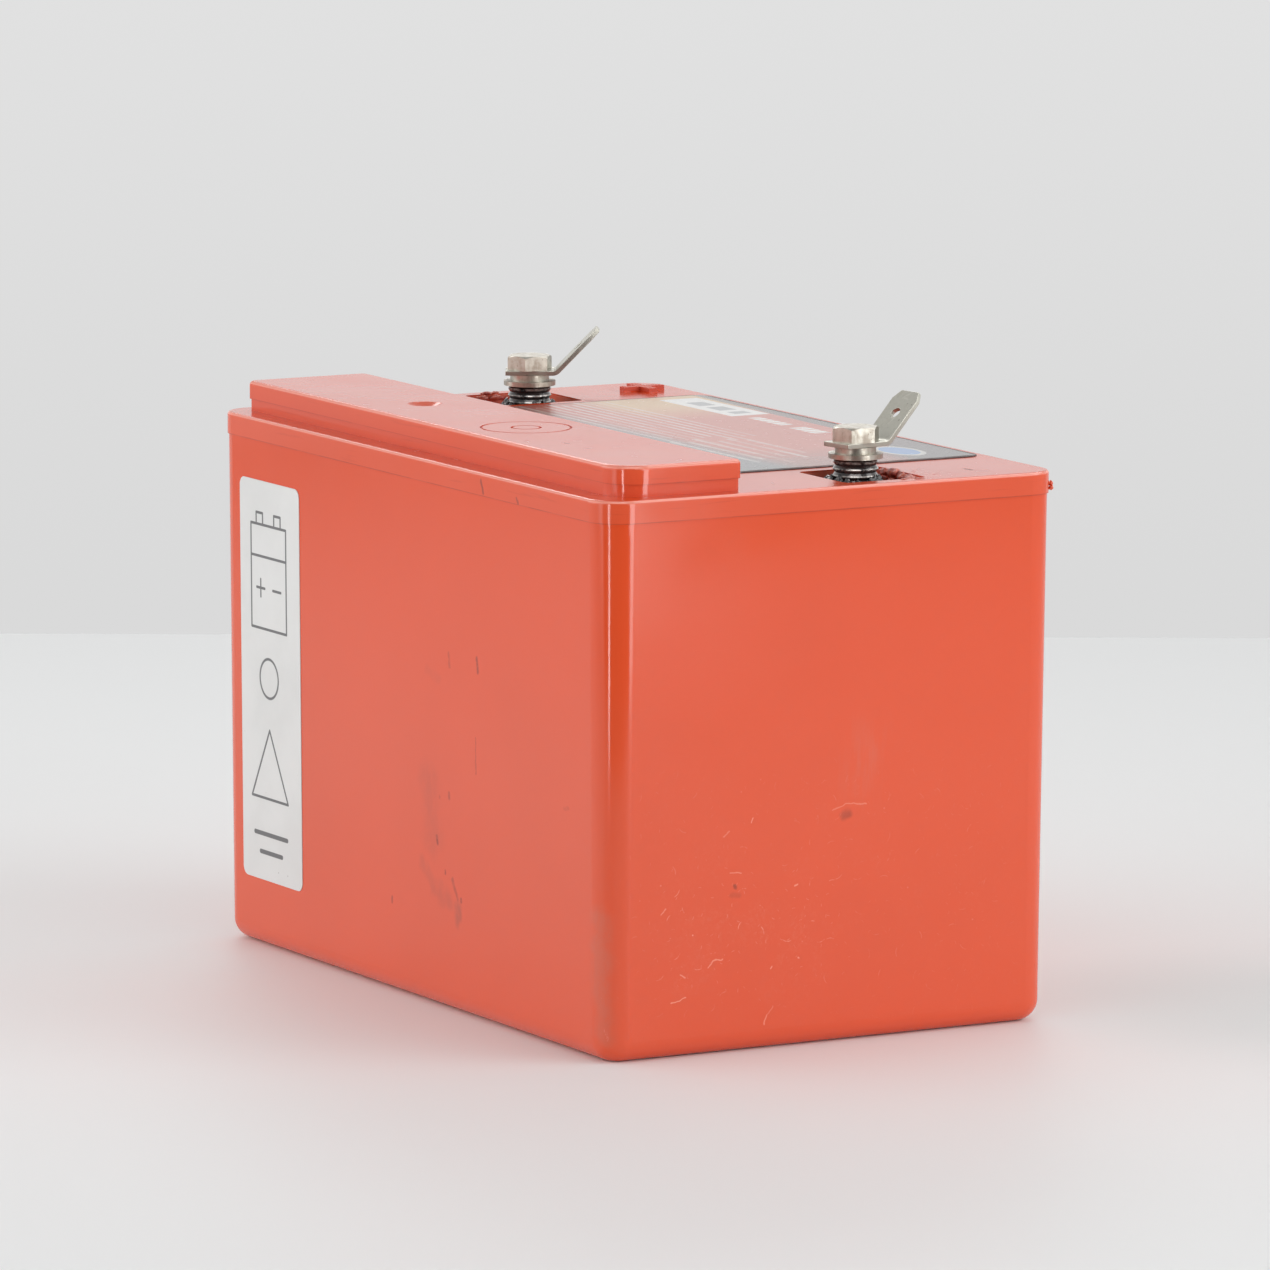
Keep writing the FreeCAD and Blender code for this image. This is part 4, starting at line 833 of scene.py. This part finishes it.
def top_film_material():
    """Printed film on the lid: fields of colour with fine pale rules, no lettering, and painted
    shadow at its lifted edge.
    """
    material, g, place = new_material("top_film")
    x, y, _ = g.axes(place)
    wander = g.times(g.minus(g.noise(place, 0.1, 2.0), 0.5), 3.0)

    yellow = g.times(g.ramp(g.plus(x, wander), -14.0, -40.0), g.ramp(y, 12.0, 22.0))
    colour = g.blend(yellow, (0.56, 0.13, 0.085), (0.66, 0.42, 0.20))
    dusk = g.ramp(g.plus(x, wander), 22.0, 42.0)
    colour = g.tint(colour, dusk, 0.6, (0.20, 0.14, 0.13))
    far_band = g.ramp(g.plus(y, g.times(x, 0.03)), 37.0, 38.2)
    right_band = g.times(g.ramp(x, 15.0, 26.0), g.ramp(y, 25.0, 31.0))
    colour = g.tint(colour, g.most(far_band, right_band), 0.9, (0.105, 0.115, 0.12))
    near_band = g.times(g.ramp(y, 9.0, 3.0), g.ramp(x, -50.0, 20.0, 0.45, 0.9))
    colour = g.blend(near_band, colour, (0.16, 0.185, 0.20))

    first, second = [
        g.times(printed_rows(g, x, y, pitch, *ends), g.within(y, *reach, 0.3))
        for pitch, ends, reach in FILM_COLUMNS
    ]
    rules = g.most(first, g.times(second, g.ramp(x, 45.5, 44.0)))
    colour = g.tint(colour, rules, 0.60, (0.70, 0.66, 0.62))

    white = g.box(x, y, *FILM_PANEL, 0.25)
    colour = g.blend(white, colour, (0.80, 0.79, 0.77))
    blocks = g.math("PINGPONG", g.plus(x, 3.0), 3.6)
    blocks = g.times(g.box(x, y, *FILM_BLOCKS, 0.3), g.ramp(blocks, 0.9, 1.2))
    colour = g.tint(colour, blocks, 0.85, (0.26, 0.27, 0.29))
    small = g.most(*[g.box(x, y, *field, 0.3) for field in FILM_BARS])
    small = g.times(small, g.ramp(g.math("PINGPONG", g.plus(x, 0.4), 1.1), 0.18, 0.32))
    colour = g.blend(small, colour, (0.80, 0.78, 0.75))

    middle, half = FILM_OVAL
    away = [g.math("DIVIDE", g.minus(v, m), h) for v, m, h in zip((x, y), middle, half)]
    away = g.joined(*away, 0.0)
    radius = g.measure("LENGTH", away)
    colour = g.tint(colour, g.ramp(radius, 1.10, 1.0), 0.8, (0.62, 0.64, 0.60))
    colour = g.blend(g.ramp(radius, 0.86, 0.80), colour, (0.16, 0.30, 0.58))

    drawn = face_marks(g, g.drift(place, 0.8, 0.4), FILM_MARKS, 2)
    scuffed = g.most(drawn, g.times(g.dots(place, 0.16, 0.05, 0.4), 0.5))
    colour = g.tint(colour, scuffed, 0.85, (0.07, 0.055, 0.045))
    # The film's darkened edge and the painted shadow under its lifted edge at +X.
    dark_rim_and_shadow = film_edge_and_shadow(g, x, y)
    colour = g.tint(colour, dark_rim_and_shadow, 0.95, (0.060, 0.022, 0.018))
    wear = g.ramp(g.noise(place, 0.4, 5.0, 0.7), 0.55, 0.75)
    colour = g.tint(colour, wear, 0.18, (0.66, 0.60, 0.57))
    waves = g.times(g.noise(place, 0.05, 2.0), 0.08)
    height = g.plus(waves, g.times(g.noise(place, 2.5), 0.003))
    gloss = g.ramp(wear, 0.0, 1.0, 0.22, 0.34)
    g.surface(colour, g.plus(gloss, g.times(dark_rim_and_shadow, 0.5)), g.bump(height, 0.5))
    return material


def floor_material():
    """A matt pale table top with painted shade: darker towards the viewer and beside the block, and
    also darker far from it.
    """
    material, g, place = new_material("table")
    x, y, _ = g.axes(place)
    cloud = g.noise(place, 0.01, 3.0)
    # Painted shade: the table darker towards the viewer.
    near = g.ramp(g.minus(g.times(x, 0.87), g.times(y, 0.49)), -60.0, 260.0)
    colour = g.blend(near, (0.89, 0.90, 0.90), (0.80, 0.81, 0.81))
    colour = g.tint(colour, cloud, 0.1, (0.80, 0.80, 0.80))
    # Painted shadow beside the block, behind it at +X.
    painted_shadow_beside = g.box(x, y, (35.0, 50.0), (110.0, 110.0), 25.0)
    colour = g.tint(colour, painted_shadow_beside, 0.7, (0.70, 0.76, 0.76))
    far = g.ramp(g.measure("LENGTH", place), 450.0, 800.0)
    colour = g.blend(far, colour, (0.40, 0.40, 0.40))
    g.surface(colour, 0.55, IOR=1.3)
    return material


def make_materials():
    brown, dark_brown = (0.10, 0.045, 0.03), (0.05, 0.022, 0.016)
    grey, dark_grey = (0.30, 0.31, 0.33), (0.20, 0.21, 0.22)
    return {
        "housing": housing_material("housing", case_marks_and_sheen),
        "lid_housing": housing_material("lid_housing", lid_marks_and_light),
        "rubber": rubber_material(),
        "positive_paste": plate_material("positive_paste", brown, dark_brown),
        "negative_paste": plate_material("negative_paste", grey, dark_grey),
        "glass_mat": mat_material(),
        "lead": lead_material(),
        "post": post_material(),
        "resin": resin_material(),
        "torn": torn_material(),
        "plated_steel": steel_material(),
        "tinned_sheet": blade_material(),
        "top_film": top_film_material(),
        "side_film": side_film_material(),
    }


def finish_nodes(materials):
    for name, node in nodes.items():
        finish = next(finish for part, finish in FINISHES.items() if part in name)
        for slot in node.material_slots:
            slot.material = materials[finish]


def new_piece(name, mesh, material):
    piece = bpy.data.objects.new(name, mesh)
    mesh.materials.append(material)
    bpy.context.scene.collection.objects.link(piece)
    return piece


def finish_mesh(name, bm, material):
    """A smooth piece of the whole object from a bmesh."""
    bmesh.ops.recalc_face_normals(bm, faces=bm.faces)
    for face in bm.faces:
        face.smooth = True
    mesh = bpy.data.meshes.new(name)
    bm.to_mesh(mesh)
    bm.free()
    piece = new_piece(name, mesh, material)
    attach(piece, "root")


def add_lump(bm, centre, size, seed):
    """A broken lump in millimetres: a fine ball pressed to size, its skin pushed about by noise."""
    made = bmesh.ops.create_icosphere(bm, subdivisions=3, radius=1.0)
    shift = Vector((seed * 7.3, seed * 3.1, 0.0))
    for vertex in made["verts"]:
        point = vertex.co.copy()
        push = 1 + LUMP_ROUGHNESS * noise.noise(point * 1.3 + shift)
        push += LUMP_ROUGHNESS * 0.5 * noise.noise(point * 3.1 + shift)
        vertex.co = Vector([(c + p * push * s) * MM for c, p, s in zip(centre, point, size)])


def make_lumps(name, lumps, material):
    """Small broken or moulded lumps of the housing's plastic, as one piece."""
    bm = bmesh.new()
    for seed, (centre, size) in enumerate(lumps, start=1):
        add_lump(bm, centre, size, seed)
    finish_mesh(name, bm, material)


def make_resin_run(name, side, seed, spread, lift, lean, material):
    """Resin that has run over a pocket's floor round its post, furthest towards the angle lean.

    The side is 1 for the front pocket and -1 for the rear one."""
    rows, turns = 16, 120
    wall_gap, floor_gap = 0.1, 0.01
    inner = POST_RADIUS + 0.03
    bm = bmesh.new()
    rings = []
    for i in range(rows + 1):
        t = i / rows
        ring = []
        for j in range(turns):
            a = 2 * math.pi * j / turns
            ux, uy = math.cos(a), math.sin(a)
            far = spread * (1 + 0.35 * noise.noise(Vector((ux * 1.4, uy * 1.4, seed))))
            far += 0.30 * spread * max(0.0, math.cos(a - lean)) ** 2
            outward = POCKET_REACH[0] if ux * side > 0 else POCKET_REACH[1]
            wall = min(outward / max(abs(ux), 0.01), POCKET_REACH[2] / max(abs(uy), 0.01))
            far = min(far, wall - wall_gap)
            r = inner + (far - POST_RADIUS) * t
            x, y = side * POST_PLACE[0] + r * ux, POST_PLACE[1] + r * uy
            bumps = 1 + 0.85 * noise.noise(Vector((x * 0.8, y * 0.8, seed)))
            bumps += 0.40 * noise.noise(Vector((x * 2, y * 2, seed)))
            height = (lift * (1 - t) ** 1.7 + 0.45 * (1 - t ** 6)) * bumps
            z = POCKET_FLOOR + max(height, 0.0) + floor_gap
            ring.append(bm.verts.new((x * MM, y * MM, z * MM)))
        rings.append(ring)
    for ring in (rings[-1], rings[0]):
        foot = [bm.verts.new((v.co.x, v.co.y, POCKET_FLOOR * MM)) for v in ring]
        rings.append(foot)
    for low, high in zip(rings, rings[1:] + rings[:1]):
        for j in range(turns):
            k = (j + 1) % turns
            bm.faces.new((low[j], low[k], high[k], high[j]))
    finish_mesh(name, bm, material)


def add_prism(bm, ring, depth):
    """A closed prism: a ring of points in millimetres, carried along the depth."""
    low = [bm.verts.new(point * MM) for point in ring]
    high = [bm.verts.new((point + depth) * MM) for point in ring]
    bm.faces.new(low[::-1])
    bm.faces.new(high)
    for i in range(len(ring)):
        j = (i + 1) % len(ring)
        bm.faces.new((low[i], low[j], high[j], high[i]))


def circle_points(centre, first, second, radius, count=40):
    """Points round a centre, in the plane of two directions."""
    angles = [2 * math.pi * i / count for i in range(count)]
    return [centre + (first * math.cos(a) + second * math.sin(a)) * radius for a in angles]


def blade_profile(along, normal):
    """The bent strip's outline from the side in millimetres, and the tip of its underside."""
    outer = BEND_RADIUS + BLADE_THICKNESS
    tilt = math.radians(BLADE_TILT)
    angles = [tilt * i / BEND_STEPS for i in range(BEND_STEPS + 1)]
    under, upper = [
        [Vector((BEND_START + r * math.sin(a), 0, outer - r * math.cos(a))) for a in angles]
        for r in (outer, BEND_RADIUS)
    ]
    tip = under[-1] + along * BLADE_REACH
    rear = Vector((-BLADE_REAR, 0, 0))
    top = [tip + normal * BLADE_THICKNESS, *upper[::-1], rear + Vector((0, 0, BLADE_THICKNESS))]
    return [rear, *under, tip, *top], tip


def blade_cuts(tip, along, normal, across):
    """The detent hole, the bolt hole and the bevels at the tip's corners, as closed prisms."""
    bm = bmesh.new()
    through = normal * (BLADE_THICKNESS * 3)
    below = tip - normal * BLADE_THICKNESS
    detent = circle_points(below - along * DETENT_PLACE, along, across, DETENT_RADIUS)
    add_prism(bm, detent, through)
    low, forward = Vector((0, 0, -1)), Vector((1, 0, 0))
    add_prism(bm, circle_points(low, forward, across, BOLT_HOLE_RADIUS), Vector((0, 0, 3)))
    long, wide = TIP_BEVEL
    for side in (1, -1):
        edge = below + across * (side * BLADE_WIDTH / 2)
        ends = [(-1.5, 0.5), (0.5, -1.5), (0.5, 0.5)]
        corner = [edge + along * (long * a) + across * (side * wide * b) for a, b in ends]
        add_prism(bm, corner, through)
    return bm


def make_blade(name, node, x, turn, material):
    """A blade terminal with a bevelled tip and a detent hole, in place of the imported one."""
    tilt = math.radians(BLADE_TILT)
    along = Vector((math.cos(tilt), 0, math.sin(tilt)))
    normal = Vector((-math.sin(tilt), 0, math.cos(tilt)))
    across = Vector((0, 1, 0))
    profile, tip = blade_profile(along, normal)
    half = across * (BLADE_WIDTH / 2)
    strip = bmesh.new()
    add_prism(strip, [point - half for point in profile], half * 2)

    turned = Matrix.Rotation(math.radians(turn), 4, "Z")
    place = Matrix.Translation(Vector((x, POST_PLACE[1], BLADE_BOTTOM)) * MM) @ turned
    objects = []
    for bm in (strip, blade_cuts(tip, along, normal, across)):
        bmesh.ops.recalc_face_normals(bm, faces=bm.faces)
        bm.transform(place)
        mesh = bpy.data.meshes.new("blade_work")
        bm.to_mesh(mesh)
        bm.free()
        mesh.shade_smooth()
        objects.append(bpy.data.objects.new("blade_work", mesh))
        bpy.context.scene.collection.objects.link(objects[-1])
    whole, holes = objects
    cut = whole.modifiers.new("cut", "BOOLEAN")
    cut.operation, cut.solver, cut.object = "DIFFERENCE", "EXACT", holes
    bevel = whole.modifiers.new("bevel", "BEVEL")
    bevel.width, bevel.segments = EDGE_ROUNDING * MM, 2
    bevel.limit_method, bevel.angle_limit = "ANGLE", math.radians(40)
    bevel.harden_normals = True
    evaluated = whole.evaluated_get(bpy.context.evaluated_depsgraph_get())
    mesh = bpy.data.meshes.new_from_object(evaluated)
    for item in objects:
        bpy.data.objects.remove(item)
    mesh.name = name
    piece = new_piece(name, mesh, material)
    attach(piece, "root")
    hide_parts(node)


def make_pieces(materials):
    front, rear = POST_PLACE[0], -POST_PLACE[0]
    resin, tinned = materials["resin"], materials["tinned_sheet"]
    make_resin_run("negative_resin_run", 1, 2.0, 5.6, 1.2, math.radians(-150), resin)
    make_resin_run("positive_resin_run", -1, 5.0, 7.4, 1.3, math.radians(50), resin)
    make_blade("negative_blade", "negative_blade_terminal", front, 99.0, tinned)
    make_blade("positive_blade", "positive_blade_terminal", rear, 60.7, tinned)
    make_lumps("front_crumbs", FRONT_CRUMBS, materials["torn"])
    make_lumps("rear_crumbs", REAR_CRUMBS, materials["torn"])
    make_lumps("skirt_flash", SKIRT_FLASH, materials["lid_housing"])


def make_floor():
    """A table that ends a little in front of the block and behind it."""
    right, _, back, _ = camera_axes()
    across = Vector((right.x, right.y, 0)).normalized()
    away = Vector((-back.x, -back.y, 0)).normalized()
    mesh = bpy.data.meshes.new("table")
    (near, far), half = TABLE_DEPTH, TABLE_HALF_WIDTH
    corners = [(-half, near), (half, near), (half, far), (-half, far)]
    points = [across * u + away * v for u, v in corners]
    mesh.from_pydata([tuple(p) for p in points], [], [(0, 1, 2, 3)])
    floor = new_piece("table", mesh, floor_material())


def make_lamp(name, azimuth, elevation, distance, size, power, shine_only=False):
    """A soft rectangular lamp, placed by its direction from the block.

    One that is shine-only shows in reflections and adds no light of its own."""
    a, e = math.radians(azimuth), math.radians(elevation)
    toward = Vector((math.cos(a) * math.cos(e), math.sin(a) * math.cos(e), math.sin(e)))
    data = bpy.data.lights.new(name, "AREA")
    data.shape = "RECTANGLE"
    data.size, data.size_y = size
    data.energy = power
    lamp = bpy.data.objects.new(name, data)
    lamp.location = Vector((0, 0, LAMP_AIM_HEIGHT)) + toward * distance
    lamp.rotation_mode = "QUATERNION"
    lamp.rotation_quaternion = toward.to_track_quat("Z", "Y")
    lamp.visible_diffuse = not shine_only
    bpy.context.scene.collection.objects.link(lamp)


def make_lights():
    for name, lamp in LAMPS.items():
        make_lamp(name, *lamp)
    for name, lamp in SHINE_LAMPS.items():
        make_lamp(name, *lamp, shine_only=True)


def make_world():
    """Pale surroundings: bright above the horizon, grey below it, dark behind the camera."""
    world = bpy.data.worlds.new("surroundings")
    world.use_nodes = True
    tree = world.node_tree
    tree.nodes.clear()
    g = Graph(tree)
    direction = g.add("ShaderNodeTexCoord")
    z = g.axes(direction)[2]
    backdrop = g.ramp(z, -0.15, -0.06, 0.70, 0.76)
    above = g.ramp(z, -0.03, 0.03)
    sky = g.ramp(z, 0.25, 0.70, 0.98, 0.54)
    level = g.plus(g.times(above, sky), g.times(g.minus(1.0, above), backdrop))
    back = camera_axes()[2]
    front = Vector((back.x, back.y, 0)).normalized()
    facing = g.measure("DOT_PRODUCT", direction, front)
    ahead = g.times(g.ramp(facing, 0.78, 0.92), g.ramp(z, 0.55, 0.25))
    below = g.times(g.ramp(facing, 0.25, 0.8), g.ramp(z, 0.0, -0.05))
    level = g.times(level, g.ramp(g.most(ahead, below), 0.0, 1.0, 1.0, 0.12))
    seen = g.add("ShaderNodeLightPath")
    level = g.plus(g.times(level, g.minus(1.0, seen)), g.times(backdrop, seen))
    colour = g.joined(level, level, level)
    shader = g.add("ShaderNodeBackground", {"Color": colour, "Strength": 1.0})
    g.add("ShaderNodeOutputWorld", {"Surface": shader}, output=None)
    bpy.context.scene.world = world


bpy.context.scene.view_settings.view_transform = "Standard"
make_camera()
materials = make_materials()
finish_nodes(materials)
make_pieces(materials)
make_floor()
make_lights()
make_world()
